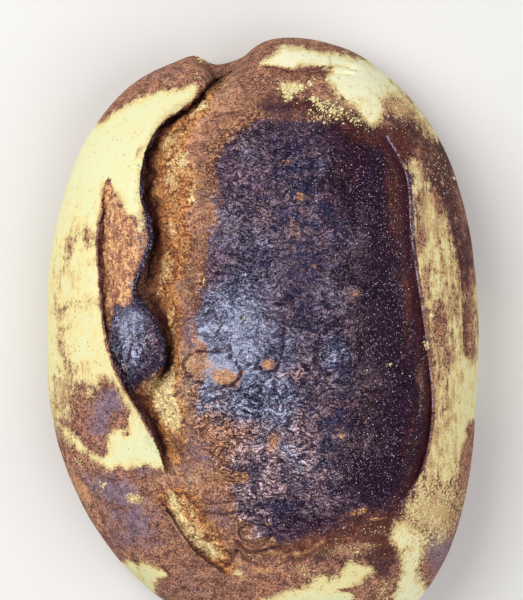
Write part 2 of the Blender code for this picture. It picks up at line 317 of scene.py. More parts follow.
# The charred dome and the burnt lump between the cuts, as outlines in pixels
CHARRED_DOME = (
    (292, 110), (268, 114), (245, 117), (229, 124), (214, 146), (206, 168), (208, 190), (208, 215),
    (200, 245), (192, 270), (188, 300), (188, 330), (194, 350), (190, 375), (188, 400), (192, 430),
    (206, 448), (214, 466), (218, 486), (224, 506), (236, 528), (250, 542), (271, 549), (293, 544),
    (316, 535), (347, 527), (366, 516), (384, 513), (402, 503), (413, 483), (421, 462), (427, 434),
    (426, 410), (422, 355), (414, 320), (408, 277), (406, 234), (405, 200), (402, 172), (390, 147),
    (375, 128), (342, 118), (312, 116),
)
BURNT_LUMP = (
    (114, 300), (126, 306), (134, 292), (142, 296), (150, 310), (158, 330), (163, 352), (160, 366),
    (150, 380), (140, 386), (132, 396), (122, 382), (113, 360), (107, 342), (108, 326), (112, 312),
)
# Golden crumb that the cuts laid bare, and the browned strip between the first two, as outlines in pixels
GOLDEN_BANK = (
    (226, 68), (240, 76), (246, 90), (240, 104), (226, 120), (212, 136), (204, 152), (203, 170), (206, 190),
    (206, 215), (198, 240), (192, 262), (189, 290), (186, 320), (188, 345), (184, 372), (187, 400),
    (189, 430), (198, 452), (204, 470), (198, 486), (207, 510), (222, 533), (240, 552), (252, 572),
    (236, 584), (212, 568), (184, 540), (158, 504), (146, 488), (160, 474), (176, 470), (160, 452),
    (140, 416), (124, 390), (136, 390), (160, 374), (166, 352), (160, 326), (150, 306), (146, 286),
    (150, 262), (150, 240), (144, 215), (142, 190), (144, 165), (150, 146), (164, 124), (186, 106), (204, 92),
    (218, 76),
)
BROWNED_STRIP = (
    (106, 183), (114, 192), (122, 204), (130, 217), (137, 232), (139, 248), (136, 264), (132, 282),
    (130, 296), (124, 306), (113, 302), (108, 312), (111, 338), (104, 338), (103, 312), (102, 285), (99, 262),
    (98, 240), (99, 215), (102, 195),
)

# Places where the crust is darkest, partly burnt and partly painted shade, and where it has a painted
# grey-blue sheen: middle, half widths, turn and amount
BURNT_AND_SHADED = (
    (382, 550, 16, 16, 0, 0.9), (376, 522, 24, 8, -14, 0.55), (285, 552, 26, 8, 0, 0.35),
    (330, 538, 30, 8, -10, 0.3), (256, 92, 24, 10, 0, 0.30), (248, 58, 14, 8, 0, 0.35),
    (318, 107, 26, 8, 6, 0.6), (278, 104, 34, 9, 0, 0.65), (178, 446, 9, 20, -20, 0.75),
    (183, 268, 6, 34, 0, 0.35), (166, 360, 8, 18, 0, 0.6), (448, 200, 12, 60, -14, 0.9),
    (382, 566, 12, 16, 0, 0.8), (300, 560, 44, 8, 0, 0.45), (345, 560, 26, 8, 0, 0.4),
    (466, 300, 4, 60, 0, 0.6), (450, 150, 20, 30, -30, 0.7), (410, 140, 16, 20, -30, 0.6),
    (470, 210, 6, 60, -8, 0.6), (372, 300, 38, 130, 0, 1.0), (350, 170, 44, 42, 0, 1.0),
    (370, 470, 46, 50, 0, 0.9), (300, 522, 60, 18, 0, 0.7), (395, 230, 20, 80, 0, 0.8),
    (402, 380, 22, 90, 0, 0.9), (272, 128, 34, 12, 0, 0.6), (350, 130, 26, 9, 12, 0.8),
    (392, 152, 8, 14, -30, 0.8), (285, 300, 12, 24, 0, 0.3), (240, 130, 16, 12, 0, 0.3),
    (330, 280, 20, 40, 0, 0.3), (415, 420, 10, 60, 0, 0.7),
)
SHEEN_SPOTS = (
    (226, 222, 32, 40, 0, 0.38), (228, 324, 38, 40, 0, 1.40), (262, 262, 34, 30, 0, 0.32),
    (318, 300, 26, 50, 0, 0.20), (290, 200, 34, 50, 0, 0.20), (334, 352, 20, 22, 30, 0.65),
    (262, 400, 42, 30, 0, 1.10), (212, 404, 32, 48, 0, 1.4), (298, 466, 30, 24, 20, 0.90),
    (242, 494, 34, 14, -8, 0.95), (250, 436, 52, 28, 0, 1.3), (244, 152, 22, 20, 0, 0.35),
    (195, 350, 14, 30, 0, 0.9), (232, 356, 36, 16, 10, 0.9), (205, 460, 20, 16, 0, 0.8),
    (230, 520, 30, 14, 0, 0.5), (345, 380, 30, 20, 0, 0.30), (340, 300, 20, 30, 0, 0.2),
    (285, 345, 20, 24, 0, 0.45), (322, 165, 12, 10, 0, 0.55), (255, 532, 14, 10, 0, 0.6),
    (268, 130, 30, 14, 0, 0.1), (360, 440, 20, 16, 0, 0.2), (325, 505, 22, 12, 0, 0.3),
    (130, 324, 18, 22, 0, 1.10), (128, 356, 14, 18, 0, 1.3), (345, 240, 20, 20, 0, 0.3),
    (250, 520, 26, 14, 0, 0.4), (108, 487, 28, 14, 10, 1.0), (132, 518, 28, 20, 30, 0.9),
    (104, 412, 16, 24, 24, 0.9), (114, 394, 12, 10, 0, 0.7), (92, 430, 10, 10, 0, 0.6),
    (122, 232, 8, 12, 0, 0.5), (112, 215, 5, 22, 0, 0.3), (124, 270, 8, 14, 0, 0.4),
    (120, 540, 20, 10, 20, 0.5), (165, 74, 20, 8, -24, 0.3), (440, 548, 12, 22, 20, 1.2),
    (146, 470, 14, 5, 0, 0.5), (150, 590, 20, 10, 30, 0.4), (190, 585, 24, 12, 20, 0.4),
    (160, 545, 18, 12, 30, 0.3),
)
# Places where the dark crust is reddish brown: middle, half widths, turn and amount
RUDDY = (
    (396, 190, 12, 60, 0, 1.0), (362, 130, 34, 14, 16, 1.0), (312, 108, 30, 10, 0, 0.8),
    (408, 300, 7, 60, 0, 0.7), (408, 440, 10, 50, 6, 0.5), (376, 520, 34, 12, -14, 1.0),
    (330, 538, 40, 12, -10, 1.0), (280, 552, 34, 9, 0, 0.8), (350, 170, 20, 30, 0, 0.4),
    (385, 548, 14, 14, 0, 0.8), (235, 132, 22, 10, -10, 0.4), (365, 400, 30, 60, 0, 0.35),
    (405, 150, 14, 22, -30, 0.6), (452, 200, 10, 60, -14, 0.4), (262, 100, 30, 10, 0, 0.4),
)
# Places where the dome stays brown: middle, half widths, turn and amount
BROWNED = (
    (222, 500, 16, 24, 0, 0.40), (240, 120, 26, 8, 0, 0.35), (330, 118, 30, 6, 0, 0.3),
    (82, 490, 8, 18, -30, 1.0), (165, 552, 18, 10, 0, 0.5), (100, 525, 8, 14, -35, 0.6),
    (229, 380, 10, 6, 10, 0.9), (268, 364, 8, 5, 0, 1.1), (355, 294, 9, 7, 0, 0.6), (284, 162, 8, 3, 0, 0.8),
    (301, 197, 7, 6, 0, 0.8), (225, 478, 20, 6, 12, 0.8), (243, 476, 10, 5, 20, 0.8),
    (274, 442, 6, 10, 20, 0.7), (340, 437, 7, 9, 0, 0.6), (200, 484, 14, 5, 14, 0.9),
    (388, 365, 4, 3, 0, 0.9), (327, 490, 5, 3, 0, 0.6), (228, 390, 30, 20, 0, 0.32),
    (225, 130, 22, 22, 0, 0.45), (250, 525, 12, 6, 20, 0.5), (300, 240, 10, 14, 0, 0.40),
    (352, 330, 6, 5, 0, 0.5), (268, 524, 6, 4, 0, 0.7), (300, 375, 44, 8, 4, 0.42),
    (212, 424, 20, 30, 0, 0.36), (212, 368, 22, 12, 12, 0.4), (224, 376, 10, 7, 12, 0.4),
    (232, 430, 40, 24, 0, 0.3), (196, 505, 14, 16, 0, 0.5), (240, 455, 40, 12, 0, 0.35),
    (230, 540, 26, 10, 10, 0.6), (243, 372, 3, 2, 0, 0.8), (314, 266, 3, 3, 0, 0.9),
    (200, 350, 14, 16, 0, 0.45), (191, 367, 6, 6, 0, 0.7), (205, 280, 10, 26, 0, 0.38),
    (260, 205, 8, 14, 0, 0.35), (290, 222, 12, 10, 0, 0.4), (250, 90, 30, 12, 0, 0.15),
    (230, 100, 20, 14, 0, 0.5), (360, 511, 12, 3, -18, 1.0), (268, 552, 18, 4, 0, 0.7),
    (420, 404, 3, 30, 4, 0.55), (411, 470, 4, 20, 24, 0.45), (262, 570, 26, 4, 8, 0.9),
    (300, 553, 24, 4, -14, 0.7), (378, 518, 12, 2.5, -8, 1.0), (268, 541, 8, 4, 0, 0.8),
    (300, 520, 10, 3, -10, 0.5), (330, 540, 20, 4, -12, 0.5), (60, 470, 10, 30, -20, 0.6),
    (75, 520, 10, 16, -30, 0.6), (170, 82, 26, 5, -20, 0.5), (398, 200, 6, 40, 0, 0.35),
    (250, 430, 50, 14, -20, 0.30), (240, 574, 8, 4, 20, 1.0),
)

# Places where the torn crumb stays cream: middle, half widths, turn and amount
CREAMY = (
    (187, 250, 4, 36, 0, 0.4), (168, 140, 5, 20, 20, 0.5), (174, 506, 6, 15, -25, 1.0),
    (187, 530, 7, 15, -32, 1.3), (206, 550, 13, 6, 32, 1.2), (166, 400, 12, 28, -20, 1.5),
    (188, 376, 8, 24, 0, 1.0), (183, 160, 8, 16, 10, 0.6), (192, 190, 6, 22, 0, 0.6),
    (238, 574, 8, 3, 20, 0.9), (196, 478, 8, 10, 0, 0.5), (200, 110, 16, 7, -30, 0.6),
    (228, 86, 10, 8, 0, 0.5),
)

# Bubbles of the crust: middle, half widths and turn in pixels, then height and ring's depth in millimetres
BUBBLES = (
    (268, 365, 10, 7, 10, 1.2, 0.8), (212, 369, 27, 16, 12, 0.9, 0.9), (229, 379, 11, 7, 15, 0.6, 0.3),
    (198, 341, 9, 9, 0, 0.6, 0.5), (191, 367, 6, 6, 0, 0.6, 0.3), (245, 375, 6, 5, 0, 0.6, 0.5),
    (256, 374, 6, 5, 0, 0.5, 0.4), (354, 294, 12, 10, 0, 0.8, 0.8), (338, 350, 22, 24, 20, 1.0, 1.0),
    (314, 266, 4, 4, 0, 0.6, 0.2), (340, 437, 9, 12, 20, 0.8, 0.6), (388, 365, 6, 5, 0, 0.7, 0.5),
    (274, 442, 8, 12, 20, 0.7, 0.5), (255, 533, 15, 9, 0, 1.0, 0.7), (283, 153, 13, 7, -25, -2.0, 0.3),
    (352, 331, 8, 6, 0, 0.6, 0.4), (238, 300, 20, 18, 0, 0.5, 0.3), (327, 490, 8, 5, 10, 0.6, 0.4),
    (250, 330, 30, 22, 0, 0.6, 0.4), (205, 250, 12, 9, 0, 0.6, 0.4), (225, 440, 14, 10, 0, 0.5, 0.4),
)
# Smooth places without wrinkles, on bubbles and the burnt lump: middle, half widths, turn and amount
CALM = (
    (268, 365, 10, 7, 10, 1.0), (229, 379, 10, 7, 15, 1.0), (198, 341, 9, 9, 0, 0.8),
    (191, 367, 6, 6, 0, 0.8), (212, 369, 28, 16, 12, 1.0), (240, 325, 40, 32, 0, 0.5),
    (354, 294, 10, 8, 0, 0.9), (380, 300, 26, 130, 0, 0.5), (300, 260, 30, 60, 0, 0.35),
    (215, 225, 20, 34, 0, 0.4), (314, 266, 4, 4, 0, 0.8), (274, 442, 8, 11, 20, 0.6),
    (340, 437, 8, 10, 20, 0.5), (352, 331, 7, 5, 0, 0.6), (245, 375, 5, 4, 0, 0.8), (256, 374, 5, 4, 0, 0.8),
    (132, 320, 16, 18, 0, 0.7), (255, 533, 12, 7, 0, 0.5),
)
# Creases and ridges of the crust: height in millimetres, half width in pixels, then the line in pixels. The
# creases also carry painted shade in the crust's colour
CREASES = (
    (-0.9, 2.2, (242, 361), (252, 366), (262, 370), (274, 373)),
    (-0.7, 2.2, (284, 317), (284, 332), (283, 348), (280, 362), (274, 372)),
    (-0.8, 2.0, (276, 303), (285, 303), (295, 299)),
    (-0.5, 1.8, (290, 98), (290, 116), (294, 132), (304, 150), (313, 172), (316, 204), (316, 238)),
    (-0.9, 2.2, (342, 322), (328, 331), (319, 343), (316, 356), (320, 368), (330, 374)),
    (-0.8, 2.4, (237, 542), (248, 552), (264, 551), (280, 547)),
    (-0.6, 2.0, (236, 550), (250, 562), (268, 568)),
    (-0.7, 2.0, (276, 567), (290, 560), (302, 560), (318, 549)),
    (-0.7, 2.0, (326, 546), (340, 537), (354, 536)), (-0.6, 1.8, (362, 530), (372, 533), (384, 529)),
    (-0.9, 1.6, (264, 65), (285, 69), (306, 70), (324, 66)), (-0.9, 1.6, (330, 67), (342, 65), (358, 69)),
    (-0.8, 2.2, (290, 495), (298, 500), (304, 505)),
    (-0.7, 2.4, (186, 376), (202, 384), (218, 388), (232, 388), (250, 398), (262, 404)),
    (-0.6, 2.0, (196, 446), (210, 452), (222, 464), (236, 470), (248, 472)),
    (-0.7, 2.4, (204, 512), (222, 514), (244, 512), (262, 518)),
    (-0.6, 2.0, (200, 500), (216, 504), (236, 500), (256, 506), (272, 504)),
    (-0.5, 2.0, (232, 418), (246, 410), (262, 412), (280, 404)),
    (-0.5, 2.0, (256, 436), (268, 430), (280, 430), (294, 420)),
    (-0.5, 2.0, (205, 330), (212, 346), (226, 350), (238, 358)),
    (-0.5, 2.0, (208, 236), (222, 242), (240, 240), (258, 250)),
    (-0.5, 2.0, (212, 262), (230, 268), (250, 266), (262, 276)),
    (-0.5, 2.0, (300, 330), (312, 318), (330, 316), (342, 322)),
    (-0.6, 2.0, (210, 118), (230, 112), (250, 116)),
    (-0.5, 2.0, (214, 150), (236, 146), (256, 152), (270, 158)),
    (-0.5, 1.8, (216, 176), (238, 172), (262, 180)), (-1.0, 2.0, (118, 356), (122, 366), (126, 376)),
    (-0.8, 2.0, (132, 338), (130, 350), (127, 362)), (-1.6, 3.0, (226, 566), (231, 560), (236, 554)),
    (-0.8, 1.8, (135, 560), (139, 570), (143, 581)), (-0.8, 1.8, (162, 567), (166, 572), (171, 576)),
    (-0.9, 1.4, (457, 236), (461, 262), (464, 290)), (-0.8, 1.4, (464, 306), (465, 330), (467, 356)),
    (-0.5, 2.0, (436, 172), (444, 196), (452, 220), (458, 244)), (-0.6, 1.8, (468, 428), (472, 440)),
    (-0.5, 1.6, (455, 460), (463, 464)), (-0.5, 1.8, (118, 468), (128, 474), (140, 478), (154, 479)),
    (-0.3, 1.2, (336, 88), (342, 96), (350, 104)), (0.8, 4.0, (220, 468), (232, 473), (244, 479)),
    (0.8, 4.0, (188, 479), (203, 483), (216, 489)), (0.6, 2.6, (350, 514), (360, 510), (369, 508)),
    (0.5, 2.2, (364, 521), (375, 518), (386, 517)), (0.5, 3.0, (242, 562), (258, 575), (280, 574)),
    (0.5, 3.0, (290, 568), (306, 563), (322, 555)),
    (0.7, 3.0, (411, 380), (412, 410), (410, 440), (404, 466)),
    (0.6, 3.4, (187, 222), (189, 250), (188, 280), (186, 300)),
    (0.6, 3.4, (206, 496), (218, 500), (236, 496)), (0.5, 3.0, (214, 410), (230, 402), (250, 404)),
)

# Loose flour and specks: middle, half widths and turn in pixels, how many, and size in millimetres
FLOUR_CRUMBS = (
    (291, 88, 9, 5, 0, 110, 0.95), (288, 96, 5, 5, 0, 40, 0.9), (300, 87, 3, 3, 0, 12, 1.2),
    (309, 84, 3, 2, 0, 8, 1.1), (314, 78, 2, 2, 0, 5, 0.9), (313, 99, 2, 4, 0, 10, 1.3),
    (334, 109, 20, 7, 18, 190, 0.62), (325, 115, 14, 7, 10, 90, 0.55), (360, 122, 10, 6, 30, 60, 0.55),
    (318, 104, 6, 3, 20, 22, 0.9), (204, 60, 5, 3, 20, 40, 0.9), (197, 76, 4, 3, 0, 12, 0.6),
    (134, 498, 8, 5, 10, 60, 0.55), (104, 485, 3, 3, 0, 12, 0.8), (79, 463, 3, 8, -30, 30, 0.6),
    (398, 112, 12, 12, 0, 90, 0.5), (428, 512, 20, 20, 10, 300, 0.5), (432, 315, 2, 2, 0, 8, 0.9),
    (427, 345, 2, 4, 0, 14, 1.0), (372, 530, 22, 5, 6, 60, 0.36), (204, 280, 2, 2, 0, 3, 1.0),
    (244, 318, 2, 2, 0, 4, 0.9), (245, 275, 2, 2, 0, 3, 0.9), (307, 572, 14, 7, 0, 110, 0.36),
    (384, 592, 12, 10, 0, 130, 0.42), (345, 552, 24, 10, 0, 150, 0.34), (391, 364, 2, 1, 0, 5, 0.8),
    (440, 170, 10, 20, -20, 60, 0.45), (365, 200, 30, 60, 0, 14, 0.32), (380, 400, 30, 60, 0, 14, 0.32),
    (270, 560, 20, 8, 0, 40, 0.32),
)
BRIGHT_SPECKS = (
    (360, 210, 42, 70, 0, 900, 0.27), (380, 330, 34, 90, 0, 900, 0.27), (360, 450, 44, 60, 0, 900, 0.27),
    (316, 200, 2.5, 36, 0, 110, 0.34), (400, 250, 12, 90, 0, 300, 0.27), (320, 480, 30, 30, 0, 300, 0.28),
    (290, 160, 20, 40, 0, 120, 0.30), (424, 360, 3, 50, 6, 100, 0.36), (413, 230, 2, 40, 3, 120, 0.34),
    (138, 200, 3, 40, 0, 70, 0.40), (143, 240, 3, 18, 0, 40, 0.42), (131, 284, 3, 5, 0, 26, 0.55),
    (133, 338, 5, 10, 20, 50, 0.55), (146, 338, 5, 6, 0, 26, 0.55), (124, 366, 4, 7, 20, 30, 0.55),
    (114, 352, 2, 12, -30, 30, 0.5), (322, 345, 4, 14, 0, 40, 0.45), (322, 362, 4, 6, 0, 16, 0.5),
    (341, 295, 2, 5, 0, 14, 0.5), (230, 230, 40, 40, 0, 160, 0.28), (250, 330, 40, 50, 0, 160, 0.28),
    (440, 550, 12, 20, 20, 200, 0.32), (330, 530, 40, 8, 0, 90, 0.32), (412, 180, 6, 40, -10, 110, 0.32),
    (455, 200, 10, 40, -14, 130, 0.32), (260, 440, 50, 40, 0, 140, 0.28),
)


def ease(share):
    """Smooth step from 0 to 1."""
    share = np.clip(share, 0, 1)
    return share * share * (3 - 2 * share)


def crowded(places):
    """Grid places from -1 to 1, drawn together near the cuts."""
    table = np.linspace(-1, 1, 400)
    pull = 1 + CUT_CROWDING * np.exp(-(((table - CUT_LINE) / CUT_SPREAD) ** 2))
    grown = np.concatenate([[0], np.cumsum((pull[1:] + pull[:-1]) / 2)])
    return np.interp(places, 2 * grown / grown[-1] - 1, table)


def notch(angle):
    """Share of the notch's depth at this angle round the outline."""
    off = (angle - NOTCH_ANGLE + math.pi) % (2 * math.pi) - math.pi
    return np.exp(-((off / np.where(off > 0, NOTCH_LEFT, NOTCH_RIGHT)) ** 2))


def outline(angle):
    """Place on the widest outline, as (x, y), with the oval's own angle."""
    cos, sin = np.cos(angle), np.sin(angle)
    reach = (np.abs(cos) ** OVAL_POWER + np.abs(sin) ** OVAL_POWER) ** (-1 / OVAL_POWER)
    return WIDTH / 2 * reach * cos, LENGTH / 2 * reach * sin


def oval_reach(x, y):
    """Share of the widest outline at which a place in the upright oval lies."""
    return (np.abs(2 * x / WIDTH) ** OVAL_POWER + np.abs(2 * y / LENGTH) ** OVAL_POWER) ** (1 / OVAL_POWER)


def bow(y):
    """How far the -Y end leans towards +X."""
    return TAIL_BOW * (np.maximum(-y, 0) / TAIL_BOW_AT) ** TAIL_BOW_POWER


def plain_loaf(x, y, turn):
    """Points of the loaf before its cuts, from a place in the upright oval and the turn over the profile."""
    over = np.minimum(turn, math.pi / 2)
    under = np.clip(turn - math.pi / 2, 0, math.pi / 2)
    dome = RIM_HEIGHT + (HEIGHT - RIM_HEIGHT) * np.cos(over) ** (2 / DOME_POWER_UP)
    flank = RIM_HEIGHT * (1 - np.sin(under))
    height = np.where(turn <= math.pi / 2, dome, flank)
    tuck = 1 - (1 - BASE_SHARE) * (1 - np.cos(under))
    reach = oval_reach(x, y) * tuck
    x, y = x * tuck, y * tuck
    upper = ease(height / RIM_HEIGHT)
    shoulder = SHOULDER_DROP * np.exp(-(((x - SHOULDER_AT) / SHOULDER_WIDTH) ** 2)) * ease(y / LENGTH * 4)
    y = y - notch(np.arctan2(y, x)) * NOTCH_DEPTH * ease(reach * 4 - 3) * upper
    y = y - shoulder * ease(reach * 3 - 2) * upper
    return np.stack([x + bow(y), y, height], axis=1)


def smooth_line(knots):
    """Knots joined by a Catmull-Rom curve."""
    knots = np.array(knots, float)
    before = np.vstack([2 * knots[0] - knots[1], knots[:-1]])
    after = np.vstack([knots[1:], 2 * knots[-1] - knots[-2]])
    slopes = (after - before) / 2
    share = np.linspace(0, 1, SAMPLES_PER_SPAN, endpoint=False)[:, None]
    spans = []
    for i in range(len(knots) - 1):
        a, b, da, db = knots[i], knots[i + 1], slopes[i], slopes[i + 1]
        spans.append(
            a * (1 + 2 * share) * (1 - share) ** 2
            + b * (3 - 2 * share) * share**2
            + da * share * (1 - share) ** 2
            - db * (1 - share) * share**2
        )
    return np.vstack([*spans, knots[-1:]])


def wander(points, size, seed):
    """Smooth noise from -1 to 1 at each point, with lumps about size across."""
    size = np.broadcast_to(np.array(size, float), 3)
    places = points / size + seed * 7.31
    return np.array([noise.noise(Vector(place)) for place in places])


def cut_line(stations, ragged):
    """The line of a cut with its gape, depth, lip and hang, in metres, and with a ragged lip where asked."""
    line = smooth_line(stations) * MM
    if ragged:
        places = np.stack([line[:, 0] * 0, line[:, 1], line[:, 1] * 0], axis=1)
        opened = ease(line[:, 2] / (8 * MM))
        line[:, 0] += LIP_WAVE_HEIGHT * opened * wander(places, LIP_WAVE, len(stations))
        line[:, 0] += LIP_WAVE_HEIGHT * 0.5 * opened * wander(places, LIP_WAVE * 0.4, len(stations) + 1)
        line[:, 2] *= 1 + GAPE_WAVE_SHARE * wander(places, GAPE_WAVE, len(stations) + 2)
    return line


CUT_LINES = {
    "first": (cut_line(FIRST_CUT, True), FLAP_ON_LEFT),
    "second": (cut_line(SECOND_CUT, True), FLAP_ON_LEFT),
    "third": (cut_line(THIRD_CUT, True), FLAP_ON_LEFT),
    "seam": (cut_line(RIGHT_SEAM, False), FLAP_ON_RIGHT),
    "crack": (cut_line(TOP_CRACK, False), FLAP_ON_RIGHT),
    "fold": (cut_line(TAIL_FOLD, False), FLAP_ON_RIGHT),
}


def guide(names, ends):
    """The line that a column of the mesh follows: cuts without their end spans, and free ends."""
    middles = [CUT_LINES[name][0][SAMPLES_PER_SPAN:-SAMPLES_PER_SPAN, :2] for name in names]
    points = np.vstack([*middles, np.array(ends, float) * MM])
    return points[np.argsort(points[:, 1])]


def oval_places(across, along):
    """Places in the upright oval for places from -1 to 1 on a square grid."""
    u = across * np.sqrt(1 - along**2 / 2)
    v = along * np.sqrt(1 - across**2 / 2)
    radius = np.clip(np.hypot(u, v), 0, 1)
    turn = math.pi / 2 * ((1 - CENTRE_CROWDING) * radius + CENTRE_CROWDING * radius**3)
    reach = np.sin(turn) ** (2 / DOME_POWER_OUT)
    x, y = outline(np.arctan2(v, u))
    return x * reach, y * reach


def follow_cuts(across, along):
    """Draws the grid's places together along its rows until three columns run along the lips of the cuts."""
    guides = (
        (LEFT_COLUMN, guide(("second", "third"), LEFT_ENDS)),
        (MIDDLE_COLUMN, guide(("first",), MIDDLE_ENDS)),
        (RIGHT_COLUMN, guide(("seam",), RIGHT_ENDS)),
    )
    knots = [across[np.argmin(np.abs(across - place))] for place, _ in guides]
    drawn = np.zeros((len(along), len(across)))
    for row, level in enumerate(along):
        x, y = oval_places(across, level)
        fade = ease((1 - abs(level)) / END_FADE)
        met = []
        for knot, (_, line) in zip(knots, guides):
            past = x + bow(y) - np.interp(y, line[:, 1], line[:, 0])
            met.append(knot + (np.interp(0, past, across) - knot) * fade)
        drawn[row] = np.interp(across, [-1, *knots, 1], [-1, *met, 1])
    return drawn


def top_places(grid):
    """Places in the upright oval, and turns over the profile, for the points of a square grid."""
    across = crowded(np.linspace(-1, 1, GRID_ACROSS + 1))
    along = np.linspace(-1, 1, GRID_ALONG + 1)
    x, y = oval_places(follow_cuts(across, along), along[:, None])
    turn = np.arcsin(np.clip(oval_reach(x, y), 0, 1) ** (DOME_POWER_OUT / 2))
    column = np.rint((grid[:, 0] + 1) / 2 * GRID_ACROSS).astype(int)
    row = np.rint((grid[:, 1] + 1) / 2 * GRID_ALONG).astype(int)
    return x[row, column], y[row, column], turn[row, column]


class Cut:
    """Where points lie in the frame of one cut."""

    def __init__(self, points, line, flap_side):
        away = points[:, None, :2] - line[None, :, :2]
        nearest = np.argmin((away**2).sum(axis=2), axis=1)
        along = np.gradient(line[:, :2], axis=0)
        along /= np.linalg.norm(along, axis=1)[:, None]
        self.across = np.stack([-along[:, 1], along[:, 0]], axis=1)[nearest] * flap_side
        self.offset = (away[np.arange(len(points)), nearest] * self.across).sum(axis=1)
        gape, self.depth, self.lip, self.hang = line[nearest, 2:].T
        self.gape = np.maximum(gape, MM)
        self.hang = np.minimum(self.hang, HANG_LIMIT * self.gape)
        self.fade = ((nearest > 0) & (nearest < len(line) - 1)).astype(float)
        self.share = np.clip(self.offset / self.gape, 0, 1)
        self.wall = np.clip((WALL_LEAST + WALL_SLOPE * self.depth) / self.gape, 0.05, 0.35)
        self.fall = ease(self.share / self.wall)
        start = self.wall + GROOVE_FLOOR
        self.climb = ease((self.share - start) / (1 - start))
        self.crest = np.exp(-(((self.share - CREST_PLACE) / CREST_WIDTH) ** 2)) * self.depth * CREST

    def open(self, points):
        """Moves points as the cut opens: the lifted flap, its lip, the wall under it and the bank."""
        lift = np.clip(1 + self.offset / FLAP_REACH, 0, 1)
        rise_flap = self.lip * ease(lift)
        rise_opening = self.lip * (1 - self.fall) - self.depth * self.fall * (1 - self.climb) + self.crest
        shift_flap = self.hang * lift**2
        shift_opening = self.hang * (1 - 1.5 * self.fall + 0.5 * self.climb)
        on_flap = self.offset < 0
        points[:, 2] += np.where(on_flap, rise_flap, rise_opening) * self.fade
        shift = np.where(on_flap, shift_flap, shift_opening) * self.fade
        points[:, :2] += self.across * shift[:, None]

    def opening(self):
        """1 in the opening, fading out past the top of its bank."""
        past = self.offset / self.gape
        return np.where(self.offset > 0, 1 - ease((past - 0.9) / 0.25), 0) * self.fade

    def beyond_lip(self):
        """1 just past the edge of the lip, and 0 on the flap and past the bank."""
        inside = ease(self.offset / (0.4 * MM) + 0.5) * (self.offset < 0.85 * self.gape)
        return inside * self.fade * ease(self.gape / (5 * MM))

    def burnt_lip(self, width):
        """1 on the edge of the lip, fading out over the flap."""
        near = np.where(self.offset < 0, 1 + self.offset / width, 1 - self.share / self.wall)
        return np.clip(near, 0, 1) * np.clip(self.lip / (1.2 * MM), 0, 1) * self.fade


def swell(points):
    """Raises or sinks the crust at its swellings and dents."""
    rise = np.zeros(len(points))
    for x, y, half_across, half_along, height in SWELLINGS:
        far = ((points[:, 0] / MM - x) / half_across) ** 2 + ((points[:, 1] / MM - y) / half_along) ** 2
        rise += height * MM * np.exp(-far)
    points[:, 2] += rise


def sighted(points):
    """Where points show in the photograph, in pixels, before the loaf is centred."""
    pixel = PIXEL * (CAMERA_DISTANCE - (points[:, 2] - RIM_HEIGHT)) / CAMERA_DISTANCE
    camera_x = (PHOTO_MIDDLE[0] - LOAF_MIDDLE[0]) * PIXEL
    camera_y = (LOAF_MIDDLE[1] - PHOTO_MIDDLE[1]) * PIXEL
    x = PHOTO_MIDDLE[0] + (points[:, 0] - camera_x) / pixel
    y = PHOTO_MIDDLE[1] - (points[:, 1] - camera_y) / pixel
    return np.stack([x, y], axis=1)


def line_distance(places, line):
    """Distance in pixels from the runs between the points of a line, up to FAR."""
    near = np.all((places > line.min(axis=0) - FAR) & (places < line.max(axis=0) + FAR), axis=1)
    close = places[near]
    low = np.full(len(close), float(FAR**2))
    for a, b in zip(line[:-1], line[1:]):
        run = b - a
        share = np.clip(((close - a) @ run) / max(run @ run, 1e-9), 0, 1)
        gap = close - a - share[:, None] * run
        low = np.minimum(low, (gap**2).sum(axis=1))
    distance = np.full(len(places), float(FAR))
    distance[near] = np.sqrt(low)
    return distance


def inside_distance(places, corners):
    """Distance in pixels from a closed smooth outline, positive inside it."""
    ring = smooth_line([*corners, corners[0]])[::3]
    ring = np.vstack([ring, ring[:1]])
    crossings = np.zeros(len(places), int)
    for a, b in zip(ring[:-1], ring[1:]):
        spans = (a[1] > places[:, 1]) != (b[1] > places[:, 1])
        fall = b[1] - a[1]
        level = a[0] + (places[:, 1] - a[1]) / (fall if fall else 1e-9) * (b[0] - a[0])
        crossings += spans & (places[:, 0] < level)
    return line_distance(places, ring) * np.where(crossings % 2, 1, -1)


def oval_distance(places, x, y, half_across, half_along, turned):
    """Distance from the middle of a turned oval, where 1 is its edge."""
    c, s = math.cos(math.radians(turned)), math.sin(math.radians(turned))
    dx, dy = places[:, 0] - x, places[:, 1] - y
    return np.hypot((dx * c + dy * s) / half_across, (dy * c - dx * s) / half_along)


def near_line(places, line, width):
    """1 on a smooth line through some points, fading out over its width in pixels."""
    return np.exp(-((line_distance(places, smooth_line(line)) / width) ** 2))


def near_ring(places, oval):
    """1 on the narrow ring round a bubble."""
    off = (oval_distance(places, *oval) - RING_PLACE) * min(oval[2], oval[3])
    return np.exp(-((off / RING_WIDTH) ** 2))


def spots(places, rows):
    """Sum of soft oval spots, each of its amount in the middle."""
    total = np.zeros(len(places))
    for *oval, amount in rows:
        total += amount * np.exp(-(oval_distance(places, *oval) ** 2))
    return total


def add_grid():
    """A square grid with rows of new edges folded under it, for the flank and the base."""
    bpy.ops.object.select_all(action="DESELECT")
    bpy.ops.mesh.primitive_grid_add(x_subdivisions=GRID_ACROSS, y_subdivisions=GRID_ALONG, size=2)
    loaf = bpy.context.object
    loaf.name = "loaf_crust"
    bpy.ops.object.mode_set(mode="EDIT")
    bpy.ops.mesh.select_mode(type="EDGE")
    bpy.ops.mesh.select_all(action="DESELECT")
    bpy.ops.mesh.select_non_manifold(
        extend=False,
        use_wire=False,
        use_boundary=True,
        use_multi_face=False,
        use_non_contiguous=False,
        use_verts=False,
    )
    for _ in range(FLANK_ROWS + BASE_RINGS):
        bpy.ops.mesh.extrude_edges_indiv()
    bpy.ops.mesh.edge_face_add()
    bpy.ops.object.mode_set(mode="OBJECT")
    return loaf


